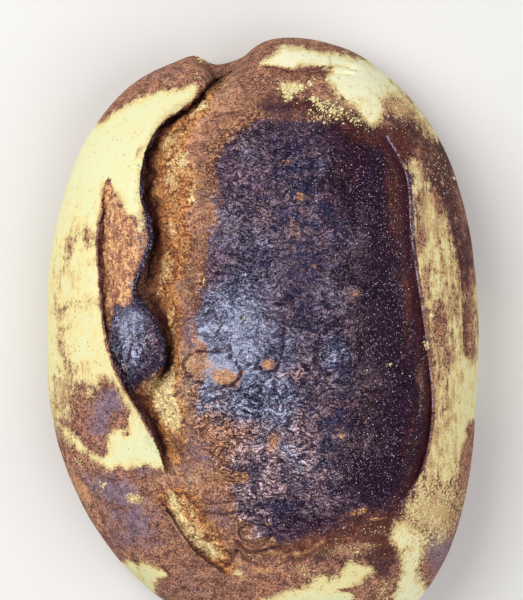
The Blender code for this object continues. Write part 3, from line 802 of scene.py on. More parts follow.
def folded_rows(mesh, top_count):
    """For each row of folded edges, its points and the rim points that they hang from."""
    edges = np.zeros(len(mesh.edges) * 2, int)
    mesh.edges.foreach_get("vertices", edges)
    edges = np.sort(edges.reshape(-1, 2), axis=1)
    count = 2 * (GRID_ACROSS + GRID_ALONG)
    root = np.arange(len(mesh.vertices))
    rows = []
    for row in range(FLANK_ROWS + BASE_RINGS):
        first = top_count + row * count
        hangs = edges[(edges[:, 1] >= first) & (edges[:, 1] < first + count) & (edges[:, 0] < first)]
        root[hangs[:, 1]] = root[hangs[:, 0]]
        rows.append((hangs[:, 1], root[hangs[:, 1]]))
    return rows


def read_points(mesh):
    points = np.zeros(len(mesh.vertices) * 3)
    mesh.vertices.foreach_get("co", points)
    return points.reshape(-1, 3)


def write_points(mesh, points):
    mesh.vertices.foreach_set("co", points.ravel())
    mesh.update()


def read_normals(mesh):
    normals = np.zeros(len(mesh.vertices) * 3)
    mesh.vertex_normals.foreach_get("vector", normals)
    return normals.reshape(-1, 3)


def shape_loaf(loaf):
    """Gives the folded grid the form of the loaf. Returns its points, their sighted places and the cuts."""
    mesh = loaf.data
    points = read_points(mesh)
    top_count = (GRID_ACROSS + 1) * (GRID_ALONG + 1)
    x, y, turn = top_places(points[:top_count])
    top = plain_loaf(x, y, turn)
    cuts = {}
    for name, (line, side) in CUT_LINES.items():
        cuts[name] = Cut(top, line, side)
        cuts[name].open(top)
    swell(top)
    points[:top_count] = top
    places = np.zeros((len(points), 2))
    places[:top_count] = sighted(top)
    for row, (verts, rim) in enumerate(folded_rows(mesh, top_count)):
        turn_here = math.pi / 2 * (1 + min((row + 1) / FLANK_ROWS, 1))
        inward = 1 - max(row + 1 - FLANK_ROWS, 0) / (BASE_RINGS + 0.5)
        foot = plain_loaf(x[rim], y[rim], np.full(len(verts), turn_here))
        points[verts] = foot * (inward, inward, 1)
        drop = np.linalg.norm(points[verts] - points[rim], axis=1) / PIXEL
        outward = places[rim] - np.array(LOAF_MIDDLE)
        outward /= np.linalg.norm(outward, axis=1)[:, None]
        places[verts] = places[rim] + outward * drop[:, None]
    return points, places, cuts


def cut_paint(cuts, count, places):
    """How torn, how much in painted shade at a groove's floor and under a lip, near a crest, burnt on a lip
    and past a lip each point is.
    """
    torn, groove_shade, crest, lip, beyond = (np.zeros(count) for _ in range(5))
    down = places[:, 1]
    wide = ease((down - WIDE_SOOT_FROM) / WIDE_SOOT_IN) * (1 - ease((down - WIDE_SOOT_TO) / WIDE_SOOT_OUT))
    for name in ("first", "second", "third"):
        cut = cuts[name]
        top = len(cut.offset)
        opened = cut.opening() * np.clip(cut.depth / TORN_DEPTH, 0, 1)
        torn[:top] = np.maximum(torn[:top], opened)
        # Painted shade at the floor of the groove, fuller in deeper cuts
        dark = np.clip(cut.depth / DARK_DEPTH, 0, 1)
        groove_shade[:top] = np.maximum(groove_shade[:top], opened * cut.fall * (1 - cut.climb) ** 2 * dark)
        # Painted shadow just past the lip's edge
        under_lip = np.exp(-(((cut.offset - SHADE_AT) / SHADE_WIDTH) ** 2)) * (cut.offset > 0)
        groove_shade[:top] = np.maximum(groove_shade[:top], opened * under_lip)
        pale = np.exp(-(((cut.share - PALE_PLACE) / PALE_WIDTH) ** 2))
        crest[:top] = np.maximum(crest[:top], opened * pale)
        beyond[:top] = np.maximum(beyond[:top], cut.beyond_lip())
        widened = wide[:top] * (name == "first")
        soot = cut.burnt_lip(SOOT_WIDTH + SOOT_WIDENED * widened)
        lip[:top] = np.maximum(lip[:top], soot * (SOOT_SHARE + (1 - SOOT_SHARE) * widened))
    beyond[:top] = np.maximum(beyond[:top], cuts["seam"].beyond_lip())
    return torn, groove_shade, crest, lip, beyond


def seam_paint(seam, count):
    """Millimetres from the lip of the right seam, positive in its trough, and far where there is no seam."""
    far = np.full(count, 8.0)
    open_here = (seam.fade > 0) & (seam.lip > 0)
    far[: len(seam.offset)] = np.where(open_here, np.clip(seam.offset / MM, -8, 8), 8.0)
    return far


def paint_loaf(cuts, places):
    """All of the loaf's paint, by name."""
    torn, groove_shade, crest, lip, beyond = cut_paint(cuts, len(places), places)
    lump = inside_distance(places, BURNT_LUMP)
    char = np.maximum(inside_distance(places, CHARRED_DOME), 6 * lump)
    gold = np.minimum(inside_distance(places, GOLDEN_BANK), 2 - 3 * lump)
    # The creases and the rings round the bubbles: the flour thins in them, and the colour carries painted
    # shade there
    crease = np.zeros(len(places))
    for height, width, *line in CREASES:
        if height < 0:
            crease = np.maximum(crease, near_line(places, line, width) * min(-height / 0.8, 1))
    for *oval, _, ring in BUBBLES:
        crease = np.maximum(crease, near_ring(places, oval) * min(ring * 1.2, 1))
    flour = np.max([inside_distance(places, corners) for corners in FLOURED], axis=0)
    flour = np.clip(flour, -20, 9) - spots(places, THIN_FLOUR) * 1.1
    flour = flour / (1 + spots(places, SOFT_FLOUR)) - 40 * beyond - CREASE_IN_FLOUR * crease
    return {
        "torn": torn,
        "groove_shade": groove_shade,
        "lip": lip,
        "flour": flour,
        "dust": np.clip(spots(places, DUSTED), 0, 1) * (1 - beyond),
        "char": np.clip(char, -20, 50),
        "gold": np.clip(gold, -20, 20),
        "cream": np.clip(spots(places, CREAMY), 0, 1),
        "strip": np.clip(inside_distance(places, BROWNED_STRIP), -20, 20),
        "burnt_and_shaded": np.clip(spots(places, BURNT_AND_SHADED), 0, 1),
        "painted_sheen": np.clip(spots(places, SHEEN_SPOTS), 0, 1.4),
        "browned": np.clip(spots(places, BROWNED), 0, 1),
        "ruddy": np.clip(spots(places, RUDDY), 0, 1),
        "crease": crease,
        "crest": crest,
        "seam": seam_paint(cuts["seam"], len(places)),
        "calm": np.clip(spots(places, CALM), 0, 1),
    }


def relief(mesh, points, places, paint):
    """Adds bubbles, creases, wrinkles and crags along the surface's own direction."""
    normals = read_normals(mesh)
    upper = ease(points[:, 2] / (12 * MM))
    dome = ease((paint["char"] + 6) / 12)
    bank = np.maximum(paint["torn"], 0.45 * ease((paint["gold"] + 4) / 8) * (1 - dome))
    rise = ROLL_HEIGHT * wander(points, ROLL_SIZE, 1) * upper
    rise += DENT_HEIGHT * wander(points, DENT_SIZE, 2) * upper
    bent = points.copy()
    bent[:, 1] += BEND * wander(points, BEND_SIZE, 3)
    bent[:, 0] += BEND * wander(points, BEND_SIZE, 8)
    wrinkled = dome * (1 - CALM_SHARE * paint["calm"])
    rise += WRINKLE_HEIGHT * wander(bent, WRINKLE_SIZE, 4) * wrinkled
    folds = 1 - np.abs(wander(bent, FOLD_SIZE, 9)) * 2
    rise += FOLD_HEIGHT * np.clip(folds, 0, 1) ** 3 * wrinkled
    rise += FINE_WRINKLE_HEIGHT * wander(bent, FINE_WRINKLE_SIZE, 5) * wrinkled
    crag = np.abs(wander(points, CRAG_SIZE, 6)) * 2 - 0.5
    crag += np.abs(wander(points, FINE_CRAG_SIZE, 7)) * 1.4 - 0.35
    rise += CRAG_HEIGHT * crag * bank
    broken = 1 + 1.3 * wander(points, BREAK_SIZE, 10)
    for height, width, *line in CREASES:
        rise += height * broken * near_line(places, line, width)
    for *oval, height, ring in BUBBLES:
        far = oval_distance(places, *oval)
        rise += height * (1 - ease((far - 0.50) / 0.5))
        rise -= ring * RING_DEPTH * near_ring(places, oval)
    moved = points + normals * (rise * MM)[:, None]
    moved[:, 2] = np.maximum(moved[:, 2], 0)
    write_points(mesh, moved)


def add_loaf():
    """The whole loaf, and how far it was moved to stand centred on its base."""
    loaf = add_grid()
    mesh = loaf.data
    points, places, cuts = shape_loaf(loaf)
    low, high = points.min(axis=0), points.max(axis=0)
    shift = np.array([-(low[0] + high[0]) / 2, -(low[1] + high[1]) / 2, -CUT_OFF])
    points = points + shift
    points[:, 2] = np.maximum(points[:, 2], 0)
    write_points(mesh, points)
    paint = paint_loaf(cuts, places)
    relief(mesh, points, places, paint)
    for name, values in paint.items():
        mesh.attributes.new(name, "FLOAT", "POINT").data.foreach_set("value", values.astype(np.float32))
    bpy.ops.object.mode_set(mode="EDIT")
    bpy.ops.mesh.select_all(action="SELECT")
    bpy.ops.mesh.normals_make_consistent(inside=False)
    bpy.ops.object.mode_set(mode="OBJECT")
    mesh.shade_smooth()
    return loaf, shift


def add_grains(name, loaf, camera, rows, seed, squash):
    """Loose grains that lie on the loaf where the camera sights them, as one mesh."""
    chance = random.Random(seed)
    bpy.ops.object.select_all(action="DESELECT")
    bpy.ops.mesh.primitive_ico_sphere_add(subdivisions=1, radius=0.5)
    model = bpy.context.object
    corners = read_points(model.data)
    sides = np.array([face.vertices[:] for face in model.data.polygons])
    bpy.data.objects.remove(model)
    skin = loaf.data
    surface = BVHTree.FromPolygons([v.co for v in skin.vertices], [f.vertices[:] for f in skin.polygons])
    eye = camera.location
    points, faces = [], []
    for x, y, half_across, half_along, turned, count, size in rows:
        c, s = math.cos(math.radians(turned)), math.sin(math.radians(turned))
        for _ in range(count):
            a, b = chance.gauss(0, 0.6) * half_across, chance.gauss(0, 0.6) * half_along
            px, py = x + a * c - b * s, y + a * s + b * c
            aim = Vector(((px - PHOTO_MIDDLE[0]) * PIXEL, (PHOTO_MIDDLE[1] - py) * PIXEL, -CAMERA_DISTANCE))
            spot, normal, _, _ = surface.ray_cast(eye, aim.normalized())
            grain = size * MM * math.exp(chance.gauss(-0.15, 0.38))
            turn = Matrix.Rotation(chance.uniform(0, math.tau), 3, "Z")
            if spot is None:
                continue
            shape = np.array([chance.uniform(0.7, 1.3), chance.uniform(0.7, 1.3), squash])
            jitter = np.array([[chance.uniform(0.75, 1.25)] for _ in corners])
            facing = np.array(normal.to_track_quat("Z", "Y").to_matrix() @ turn)
            faces.append(sides + len(points) * len(corners))
            middle = np.array(spot + normal * grain * squash * 0.3)
            points.append((corners * jitter * shape * grain) @ facing.T + middle)
    mesh = bpy.data.meshes.new(name)
    mesh.from_pydata(np.vstack(points).tolist(), [], np.vstack(faces).tolist())
    mesh.shade_smooth()
    grains = bpy.data.objects.new(name, mesh)
    bpy.context.scene.collection.objects.link(grains)
    return grains


class Graph:
    """A material's node tree, with short calls for the nodes that the crust needs."""

    def __init__(self, name):
        self.material = bpy.data.materials.new(name)
        self.material.use_nodes = True
        self.nodes = self.material.node_tree.nodes
        self.links = self.material.node_tree.links
        self.shader = self.nodes["Principled BSDF"]
        place = self.nodes.new("ShaderNodeTexCoord").outputs["Object"]
        self.mm = self.vector("SCALE", place, scale=1000)
        self.noises = {}

    def put(self, socket, value):
        """Links a socket, or sets a number or a colour on it."""
        if isinstance(value, bpy.types.NodeSocket):
            self.links.new(value, socket)
        elif socket.type == "RGBA":
            socket.default_value = (*value, 1)
        else:
            socket.default_value = value

    def set(self, **values):
        """Sets the shader's own sockets, named with underscores for spaces."""
        for name, value in values.items():
            self.put(self.shader.inputs[name.replace("_", " ")], value)

    def vector(self, operation, a, b=None, scale=None):
        node = self.nodes.new("ShaderNodeVectorMath")
        node.operation = operation
        self.put(node.inputs[0], a)
        if b is not None:
            self.put(node.inputs[1], b)
        if scale is not None:
            self.put(node.inputs["Scale"], scale)
        return node.outputs[0]

    def math(self, operation, a, b=0.0, clamp=False):
        node = self.nodes.new("ShaderNodeMath")
        node.operation = operation
        node.use_clamp = clamp
        self.put(node.inputs[0], a)
        self.put(node.inputs[1], b)
        return node.outputs[0]

    def add(self, *values):
        total = values[0]
        for value in values[1:]:
            total = self.math("ADD", total, value)
        return total

    def times(self, *values):
        total = values[0]
        for value in values[1:]:
            total = self.math("MULTIPLY", total, value)
        return total

    def swing(self, value, amount):
        """Noise from 0 to 1, made to swing by this amount about zero."""
        return self.times(self.math("SUBTRACT", value, 0.5), amount)

    def step(self, value, low, high, start=0.0, end=1.0):
        """Smooth step of a value between two limits, onto a range."""
        node = self.nodes.new("ShaderNodeMapRange")
        node.interpolation_type = "SMOOTHSTEP"
        for socket, number in zip(node.inputs, (value, low, high, start, end)):
            self.put(socket, number)
        return node.outputs[0]

    def mix(self, share, a, b):
        node = self.nodes.new("ShaderNodeMix")
        node.data_type = "RGBA"
        self.put(node.inputs["Factor"], share)
        self.put(node.inputs[6], a)
        self.put(node.inputs[7], b)
        return node.outputs[2]

    def blend(self, share, a, b):
        """Mix of two numbers."""
        node = self.nodes.new("ShaderNodeMix")
        for socket, value in zip((node.inputs[0], node.inputs[2], node.inputs[3]), (share, a, b)):
            self.put(socket, value)
        return node.outputs[0]

    def stir(self, value, **amounts):
        """A value, or none, with shared noises swung about it, each by its amount."""
        for name, amount in amounts.items():
            swung = self.swing(self.noises[name], amount)
            value = swung if value is None else self.add(value, swung)
        return value

    def lay(self, colour, over, mask, low, high, strength=1.0):
        """A colour with another laid over it where a mask passes from low to high."""
        return self.mix(self.times(self.step(mask, low, high), strength), colour, over)

    def grained(self, colour, strength, **amounts):
        """A colour made lighter and darker by shared noises."""
        grain = self.times(self.stir(None, **amounts), strength)
        return self.vector("SCALE", colour, scale=self.math("MAXIMUM", self.add(1.0, grain), 0.35))

    def attribute(self, name):
        node = self.nodes.new("ShaderNodeAttribute")
        node.attribute_name = name
        return node.outputs["Fac"]

    def noise(self, size, detail=2.0, roughness=0.5, place=None, shift=0.0, output="Fac"):
        """Noise from 0 to 1 with lumps about size millimetres across."""
        place = self.vector("ADD", self.mm if place is None else place, (shift, shift, shift))
        node = self.nodes.new("ShaderNodeTexNoise")
        self.put(node.inputs["Vector"], place)
        self.put(node.inputs["Scale"], 1 / size)
        self.put(node.inputs["Detail"], detail)
        self.put(node.inputs["Roughness"], roughness)
        return node.outputs[output]

    def threads(self, value, width):
        """1 on thin winding lines, where noise passes its middle value."""
        off = self.math("ABSOLUTE", self.math("SUBTRACT", value, 0.5))
        return self.step(off, width, 0)

    def specks(self, size, radius, share, shift=0.0):
        """1 on scattered specks, where share from 0 to 1 says how many of the cells have one."""
        node = self.nodes.new("ShaderNodeTexVoronoi")
        self.put(node.inputs["Vector"], self.vector("ADD", self.mm, (shift, shift, shift)))
        self.put(node.inputs["Scale"], 1 / size)
        chance = self.nodes.new("ShaderNodeSeparateColor")
        self.links.new(node.outputs["Color"], chance.inputs[0])
        small = self.step(node.outputs["Distance"], radius, radius * 0.6)
        return self.times(small, self.math("LESS_THAN", chance.outputs[0], share))

    def bump(self, height, distance, normal=None):
        node = self.nodes.new("ShaderNodeBump")
        self.put(node.inputs["Height"], height)
        self.put(node.inputs["Distance"], distance)
        if normal is not None:
            self.put(node.inputs["Normal"], normal)
        return node.outputs[0]


# Colours, as linear values
FLOUR_PALE = (0.79, 0.785, 0.47)
FLOUR_LIT = (0.95, 0.93, 0.66)
FLOUR = (0.84, 0.73, 0.35)
FLOUR_TAN = (0.60, 0.39, 0.19)
FLOUR_LUMP = (0.92, 0.80, 0.43)
BROWN = (0.37, 0.168, 0.102)
BROWN_SHADE = (0.19, 0.085, 0.070)
BROWN_DARK = (0.12, 0.046, 0.038)
BURNT_BROWN = (0.060, 0.022, 0.026)
PURPLE = (0.20, 0.148, 0.205)
TAN = (0.62, 0.32, 0.155)
RUSSET = (0.27, 0.095, 0.040)
GOLD = (0.62, 0.28, 0.105)
TORN_TAN = (0.56, 0.29, 0.17)
CREAM = (0.88, 0.68, 0.34)
# Painted shade at the floor of a groove
GROOVE_SHADE = (0.095, 0.025, 0.022)
CHAR_BLUE = (0.014, 0.020, 0.080)
CHAR_BROWN = (0.042, 0.016, 0.036)
MAROON = (0.021, 0.004, 0.023)
RUDDY_BROWN = (0.105, 0.028, 0.018)
MAHOGANY = (0.105, 0.055, 0.092)
# Painted sheen on the char, blue where it is strong and pink lower down
SHEEN_BLUE = (0.37, 0.40, 0.55)
SHEEN_PINK = (0.72, 0.50, 0.50)
SOOT = (0.016, 0.012, 0.030)
STRIP_ORANGE = (0.80, 0.44, 0.21)
SPECK = (0.56, 0.48, 0.53)
SEAM_LINE = (0.40, 0.38, 0.50)
SEAM_RED = (0.065, 0.015, 0.022)

# Finish of the crust
CRUST_ROUGHNESS = 0.80
CHAR_ROUGHNESS = 0.54
FINE_RELIEF = 0.75 * MM
BLISTER_SIZE = 1.2  # cells of the glazed char, in millimetres

# Paint that the loaf carries for its material
PAINT_NAMES = (
    "torn", "groove_shade", "lip", "flour", "dust", "char", "gold", "cream", "strip", "burnt_and_shaded", "painted_sheen", "browned",
    "crease", "crest", "seam", "calm", "ruddy",
)


def bare_crust(g, paint):
    """Brown crust without flour, with burnt places, purplish places under the painted sheen, and painted
    shade in its creases.
    """
    n = g.noises
    colour = g.lay(BROWN_SHADE, BROWN, g.stir(n["grit"], lumps=0.6, dots=0.8), 0.34, 0.66)
    colour = g.lay(colour, TAN, g.stir(n["dots"], lumps=0.8, patches=0.9), 0.50, 0.80, 0.5)
    # Purplish where the painted sheen lies
    purple = g.stir(g.times(paint["painted_sheen"], 0.9), patches=1.8, lumps=1.1, dots=1.6, streaks=0.8)
    colour = g.lay(colour, PURPLE, purple, 0.22, 1.0, 0.85)
    # Burnt brown where the crust is burnt, and painted shade where it is shaded
    burnt = g.stir(paint["burnt_and_shaded"], patches=2.2, dots=0.7, broad=1.0)
    colour = g.lay(colour, BURNT_BROWN, burnt, 0.30, 0.85, 0.85)
    colour = g.lay(colour, RUDDY_BROWN, g.stir(paint["ruddy"], patches=0.9, grit=0.7), 0.25, 0.95, 0.85)
    colour = g.lay(colour, TAN, g.stir(paint["browned"], lumps=1.2, grit=0.6), 0.30, 0.85, 0.7)
    # Painted shade in the creases
    colour = g.mix(g.times(n["creased"], 0.8), colour, BROWN_DARK)
    return g.grained(colour, 1.9, dots=1.1, grit=0.9, lumps=0.8)


def char_folds(g, paint, fine, clear):
    """How much of the char's brown folds shows: most towards its edge, and in patches further in."""
    inward = g.stir(paint["char"], broad=60, patches=40, lumps=20)
    patches = g.times(g.step(g.stir(g.noises["patches"], broad=0.9), 0.44, 0.60), 0.75)
    folds = g.math("MINIMUM", g.add(g.step(inward, 50, 14), patches), 1.0)
    return g.times(folds, clear, g.add(g.times(fine, 0.75), 0.25))


def char_sheen(g, paint, fine, clear):
    """How much of the char's painted sheen shows, and its colour: blue where it is strong, pink lower down.
    """
    tone = g.stir(g.add(paint["painted_sheen"], g.times(paint["browned"], -1.2)), patches=1.6)
    lower = g.times(g.step(g.noises["y"], -18, -42), -0.75)
    colour = g.mix(g.step(g.add(tone, lower), 0.10, 0.60), SHEEN_PINK, SHEEN_BLUE)
    share = g.step(g.stir(g.noises["patches"], lumps=0.6, broad=0.8), 0.34, 0.60, 0.36, 1.0)
    amount = g.add(paint["painted_sheen"], g.times(clear, 0.04), 0.012)
    bright = g.times(amount, share, g.add(g.times(fine, 0.95), 0.14))
    return g.math("MINIMUM", bright, 0.92), colour


def charred_crust(g, paint):
    """The dome's glazed char: dark in its creases, where painted shade darkens it, with a painted blue and
    pink sheen on its folds, brown towards its edge.
    """
    n = g.noises
    clear = g.math("SUBTRACT", 1.0, paint["burnt_and_shaded"])
    rough = g.step(g.stir(n["strokes"], dots=0.6, blisters=-0.5), 0.36, 0.72)
    smooth = g.step(g.stir(n["dots"], grit=0.6), 0.05, 0.55)
    fine = g.blend(g.times(paint["calm"], 0.7), rough, smooth)
    colour = g.lay(CHAR_BLUE, CHAR_BROWN, g.stir(n["patches"], lumps=0.7), 0.42, 0.60)
    # Maroon where the char is burnt, and painted shade where it is shaded
    colour = g.lay(colour, MAROON, g.stir(paint["burnt_and_shaded"], broad=1.0), 0.30, 0.80)
    colour = g.lay(colour, RUDDY_BROWN, g.stir(paint["ruddy"], lumps=0.9, dots=0.7), 0.20, 0.90, 0.9)
    colour = g.mix(char_folds(g, paint, fine, clear), colour, MAHOGANY)
    # Painted sheen of the key light on the glazed char
    bright, painted_sheen = char_sheen(g, paint, fine, clear)
    colour = g.mix(bright, colour, painted_sheen)
    edge = g.step(g.stir(paint["char"], patches=30, strokes=20), 20, 2)
    brown = g.stir(g.add(g.times(edge, clear, 0.75), paint["browned"]), lumps=0.9, strokes=0.7)
    colour = g.lay(colour, g.mix(fine, RUSSET, TAN), brown, 0.35, 0.85, 0.9)
    # Darker in the char's cracks and between its blisters, and painted shade in its creases
    gaps = g.math("MAXIMUM", n["cracks"], g.times(g.step(n["blisters"], 0.52, 0.80), 0.6))
    gaps = g.times(gaps, g.math("SUBTRACT", 0.7, g.times(paint["calm"], 0.5)))
    colour = g.mix(g.math("MAXIMUM", gaps, g.times(n["creased"], 0.9)), colour, MAROON)
    strength = g.add(3.1, g.times(paint["calm"], -1.5))
    return g.grained(colour, strength, dots=0.9, strokes=0.9, patches=0.7)


def torn_crumb(g, paint):
    """Golden crumb that the oven tore open, cream along its crest and dark in its holes, with painted shade
    in its groove, its creases and its shaded places.
    """
    n = g.noises
    tone = g.stir(n["lumps"], grit=0.5, broad=0.9, tears=0.7, strokes=1.4)
    bare = g.lay(BROWN, TORN_TAN, tone, 0.32, 0.62)
    bare = g.lay(bare, g.mix(0.3, BROWN_SHADE, PURPLE), g.stir(n["patches"], grit=0.8), 0.52, 0.70)
    gold = g.lay(RUSSET, GOLD, tone, 0.32, 0.66)
    colour = g.lay(bare, gold, g.stir(paint["torn"], patches=1.2), 0.25, 0.75)
    cream = g.add(g.times(paint["crest"], 0.36), g.times(paint["cream"], 0.80))
    colour = g.lay(colour, CREAM, g.stir(cream, patches=1.5, tears=1.0, grit=0.8), 0.24, 0.90)
    colour = g.lay(colour, BROWN_DARK, g.stir(n["tears"], grit=0.4), 0.42, 0.31, 0.85)
    # Dark brown as painted shade in the bank's shaded places
    colour = g.lay(colour, BROWN_DARK, g.stir(paint["burnt_and_shaded"], tears=1.2, patches=0.8), 0.25, 0.85, 0.8)
    # Painted shade at the floor of the groove: russet, then near black
    depth = g.stir(g.add(paint["groove_shade"], g.times(paint["cream"], -0.6)), tears=0.7)
    colour = g.lay(colour, RUSSET, g.stir(depth, lumps=1.0), 0.24, 0.70, 0.75)
    colour = g.lay(colour, GROOVE_SHADE, g.stir(depth, lumps=0.8), 0.52, 0.88)
    # Painted shade in the creases
    colour = g.mix(g.times(n["creased"], 0.7), colour, BROWN_DARK)
    return g.grained(colour, 2.2, grit=0.9, dots=0.8, strokes=0.7)


def browned_strip(g, paint):
    """The thin orange crust between the first two cuts, purplish under the painted sheen, with painted shade
    in the groove.
    """
    n = g.noises
    tone = g.stir(n["lumps"], grit=0.8, streaks=1.0, patches=0.6)
    colour = g.lay(BROWN, STRIP_ORANGE, tone, 0.36, 0.62)
    colour = g.lay(colour, BROWN_DARK, n["tears"], 0.46, 0.36, 0.6)
    # Purplish where the painted sheen lies
    colour = g.lay(colour, PURPLE, g.stir(paint["painted_sheen"], patches=1.4, grit=0.6), 0.25, 0.75, 0.75)
    # Painted shade at the floor of the groove
    colour = g.lay(colour, GROOVE_SHADE, paint["groove_shade"], 0.45, 0.9)
    return g.grained(colour, 2.0, grit=0.9, dots=0.9)


def flour_cover(g, paint):
    """The flour's colour and how much of the crust it hides."""
    n = g.noises
    on_right = g.step(n["x"], 38, 58)
    sides = g.math("MAXIMUM", g.times(on_right, 24), g.step(n["x"], -62, -84, 8, 14))
    sides = g.times(sides, g.step(n["y"], -72, -46, 0.2, 1.0))
    heel = g.times(g.step(n["x"], 58, 68), g.step(n["y"], -52, -64), g.step(n["y"], -92, -80))
    coarse = g.add(7, g.times(on_right, 4), g.times(heel, 22))
    coarse = g.times(g.math("SUBTRACT", n["grit"], 0.5), coarse)
    streaks = g.times(g.swing(n["streaks"], 1.0), sides)
    level = g.add(paint["flour"], g.add(g.swing(n["lumps"], 10), coarse, streaks))
    cover = g.step(g.stir(level, dots=7), -2.2, 2.2)
    level = g.add(g.stir(level, patches=12), g.times(on_right, g.step(n["y"], -90, -74), -2.5))
    powder = g.lay(FLOUR_TAN, FLOUR, level, -1.5, 4.5)
    powder = g.lay(powder, FLOUR_PALE, level, 3.0, 9.5)
    far_end = g.times(g.step(n["x"], -8, 4), g.step(n["y"], 80, 94))
    near_end = g.times(g.step(n["x"], 50, 58), g.step(n["y"], -74, -84), 0.7)
    lit = g.times(g.math("MAXIMUM", far_end, near_end), g.step(level, 1.0, 8.0), 0.8)
    powder = g.mix(lit, powder, FLOUR_LIT)
    freckles = g.step(g.stir(n["dots"], lumps=0.5), 0.40, 0.28)
    powder = g.mix(g.times(freckles, g.step(level, 11, 0, 0.15, 0.85)), powder, FLOUR_TAN)
    loose = g.math("LESS_THAN", g.stir(n["dots"], lumps=0.25), g.times(paint["dust"], 0.74))
    pores = g.math("SUBTRACT", 1.0, g.specks(1.9, 0.17, 0.28, shift=200))
    return g.times(g.math("MAXIMUM", cover, loose), pores), powder


def crust_noises(g):
    """The noises that the finishes share, each from 0 to 1, and the place across and along in millimetres."""
    bend = g.vector("SUBTRACT", g.noise(9, 2, 0.5, shift=77, output="Color"), (0.5, 0.5, 0.5))
    bent = g.vector("ADD", g.mm, g.vector("SCALE", bend, scale=11))
    drawn = g.vector("MULTIPLY", bent, (0.5, 1.0, 0.8))
    torn_way = g.vector("MULTIPLY", bent, (0.6, 1.0, 1.0))
    gently = g.vector("ADD", g.mm, g.vector("SCALE", bend, scale=3.5))
    long_way = g.vector("MULTIPLY", gently, (1.0, 0.15, 0.4))
    place = g.nodes.new("ShaderNodeSeparateXYZ")
    g.links.new(g.mm, place.inputs[0])
    cells = g.nodes.new("ShaderNodeTexVoronoi")
    g.put(cells.inputs["Vector"], drawn)
    g.put(cells.inputs["Scale"], 1 / BLISTER_SIZE)
    return {
        "x": place.outputs[0],
        "y": place.outputs[1],
        "blisters": cells.outputs["Distance"],
        "streaks": g.noise(1.9, 4, 0.75, place=long_way, shift=300),
        "broad": g.noise(15, 3, 0.55),
        "patches": g.noise(6.5, 4, 0.62, shift=120),
        "lumps": g.noise(3.4, 4, 0.62, shift=31),
        "grit": g.noise(1.1, 3, 0.6, shift=57),
        "dots": g.noise(0.6, 1, 0.5, shift=11),
        "strokes": g.noise(1.2, 4, 0.68, place=drawn),
        "wrinkles": g.noise(3.4, 3, 0.6, place=drawn, shift=83),
        "creases": g.noise(1.8, 2, 0.5, place=drawn, shift=140),
        "tears": g.noise(3.0, 3, 0.6, place=torn_way, shift=410),
    }


def add_cracks(g, paint):
    """Adds to the noises the painted creases, which carry painted shade, and these together with the char's
    own thin cracks.
    """
    n = g.noises
    cracks = g.math("MAXIMUM", g.threads(n["wrinkles"], 0.024), g.times(g.threads(n["creases"], 0.036), 0.6))
    cracks = g.times(cracks, g.math("SUBTRACT", 1.0, paint["calm"]))
    n["creased"] = g.step(g.stir(paint["crease"], lumps=0.5), 0.35, 0.75)
    n["cracks"] = g.math("MAXIMUM", cracks, n["creased"])


def soot_and_glints(g, paint, colour, charred):
    """A colour with soot on the burnt lips and pale glints on all that is burnt."""
    n = g.noises
    soot = g.step(g.stir(paint["lip"], grit=0.35, lumps=0.3), 0.40, 0.62)
    colour = g.mix(soot, colour, g.lay(SOOT, PURPLE, g.stir(n["grit"], dots=0.8), 0.50, 0.72))
    sooty = g.math("MAXIMUM", charred, soot)
    glints = g.specks(0.9, 0.30, g.times(sooty, 0.12))
    sparkle = g.times(g.step(n["dots"], 0.64, 0.76), sooty, 0.22)
    return g.mix(g.math("MAXIMUM", glints, sparkle), colour, SPECK)


def seam_lines(g, paint):
    """How much shows of the right seam's dark trough, and of the pale line along its lip."""
    n = g.noises
    seam = g.stir(paint["seam"], lumps=2.0, grit=1.2)
    uneven = g.step(g.stir(n["grit"], lumps=1.2), 0.20, 0.65, 0.65, 1.0)
    trough = g.times(g.step(seam, 0.0, 0.5), g.step(seam, 5.6, 3.2), uneven)
    line = g.times(g.step(seam, -0.5, -0.2), g.step(seam, 0.6, 0.3))
    broken = g.step(g.stir(n["lumps"], grit=0.8), 0.40, 0.56)
    return trough, g.times(line, broken, g.step(n["y"], -52, -30), 0.9)


def crust_material():
    """Everything that the oven and the flour left on the loaf, with painted sheen and painted shade on it."""
    g = Graph("rye_crust")
    paint = {name: g.attribute(name) for name in PAINT_NAMES}
    g.noises = crust_noises(g)
    n = g.noises
    add_cracks(g, paint)
    charred = g.step(g.stir(paint["char"], broad=44, patches=40, strokes=60, lumps=34), -15, 12)
    colour = g.mix(charred, bare_crust(g, paint), charred_crust(g, paint))
    torn = g.step(g.stir(paint["gold"], broad=20, lumps=30, grit=16), -8, 10)
    colour = g.mix(torn, colour, torn_crumb(g, paint))
    colour = g.lay(colour, browned_strip(g, paint), g.stir(paint["strip"], lumps=6), -1, 1.5)
    colour = soot_and_glints(g, paint, colour, charred)
    trough, line = seam_lines(g, paint)
    colour = g.mix(trough, colour, SEAM_RED)
    cover, powder = flour_cover(g, paint)
    colour = g.mix(cover, colour, powder)
    colour = g.mix(line, colour, SEAM_LINE)

    uncovered = g.math("SUBTRACT", 1.0, g.times(cover, 0.9))
    rough_crust = g.add(g.times(n["strokes"], 0.6), g.times(n["cracks"], -0.7), g.times(n["blisters"], -0.55))
    height = g.times(g.add(g.times(rough_crust, charred), g.times(n["grit"], 0.35)), uncovered)
    crumbs = g.add(g.times(n["tears"], 1.4), g.times(n["grit"], 0.5))
    height = g.add(height, g.times(crumbs, torn), g.times(n["dots"], 0.10))
    rough = g.blend(g.times(charred, uncovered), CRUST_ROUGHNESS, CHAR_ROUGHNESS)
    g.set(Base_Color=colour, Roughness=rough, Normal=g.bump(height, FINE_RELIEF), Specular_IOR_Level=0.11)
    return g.material


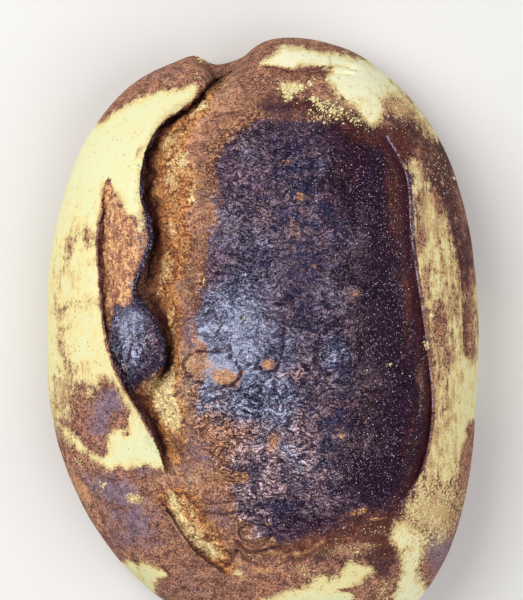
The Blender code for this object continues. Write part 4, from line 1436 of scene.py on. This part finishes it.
def powder_material(name, colour, roughness):
    """Loose flour or specks, each grain a little lighter or darker."""
    g = Graph(name)
    shade = tuple(0.72 * value for value in colour)
    g.set(Base_Color=g.mix(g.noise(0.9, 2), shade, colour), Roughness=roughness, Specular_IOR_Level=0.3)
    return g.material


def add_floor():
    bpy.ops.object.select_all(action="DESELECT")
    bpy.ops.mesh.primitive_plane_add(size=6)
    floor = bpy.context.object
    floor.name = "floor"
    g = Graph("pale_floor")
    g.set(Base_Color=(0.80, 0.79, 0.77), Roughness=0.9)
    floor.data.materials.append(g.material)


def add_light(name, place, size, power, colour):
    light = bpy.data.lights.new(name, "AREA")
    light.shape = "DISK"
    light.size = size
    light.energy = power
    light.color = colour
    lamp = bpy.data.objects.new(name, light)
    lamp.location = place
    lamp.rotation_euler = Vector(place).to_track_quat("Z", "Y").to_euler()
    bpy.context.scene.collection.objects.link(lamp)


def add_studio():
    add_light("key", (-0.65, 0.40, 1.05), 1.0, 12.6, (1.0, 0.99, 0.97))
    add_light("fill", (0.7, -0.45, 1.15), 1.4, 9.0, (0.98, 0.98, 1.0))
    world = bpy.data.worlds.new("studio")
    world.use_nodes = True
    back = world.node_tree.nodes["Background"]
    back.inputs["Color"].default_value = (0.95, 0.97, 1.0, 1)
    back.inputs["Strength"].default_value = 0.34
    bpy.context.scene.world = world
    bpy.context.scene.view_settings.view_transform = "Standard"


def add_camera(shift):
    lens = bpy.data.cameras.new("above")
    lens.sensor_width = SENSOR
    lens.lens = SENSOR * CAMERA_DISTANCE / (PHOTO_SIZE[1] * PIXEL)
    camera = bpy.data.objects.new("above", lens)
    x = (PHOTO_MIDDLE[0] - LOAF_MIDDLE[0]) * PIXEL + shift[0]
    y = (LOAF_MIDDLE[1] - PHOTO_MIDDLE[1]) * PIXEL + shift[1]
    camera.location = (x, y, CAMERA_DISTANCE + RIM_HEIGHT + shift[2])
    bpy.context.scene.collection.objects.link(camera)
    bpy.context.scene.camera = camera
    return camera


def dress(piece, material):
    piece.data.materials.append(material)
    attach(piece, "root")


def main():
    loaf, shift = add_loaf()
    camera = add_camera(shift)
    crumbs = add_grains("flour_crumbs", loaf, camera, FLOUR_CRUMBS, 5, 0.75)
    specks = add_grains("bright_specks", loaf, camera, BRIGHT_SPECKS, 6, 0.6)
    dress(loaf, crust_material())
    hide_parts("rye_loaf")
    dress(crumbs, powder_material("flour_lumps", FLOUR_LUMP, 0.9))
    dress(specks, powder_material("pale_specks", SPECK, 0.6))
    add_floor()
    add_studio()


main()
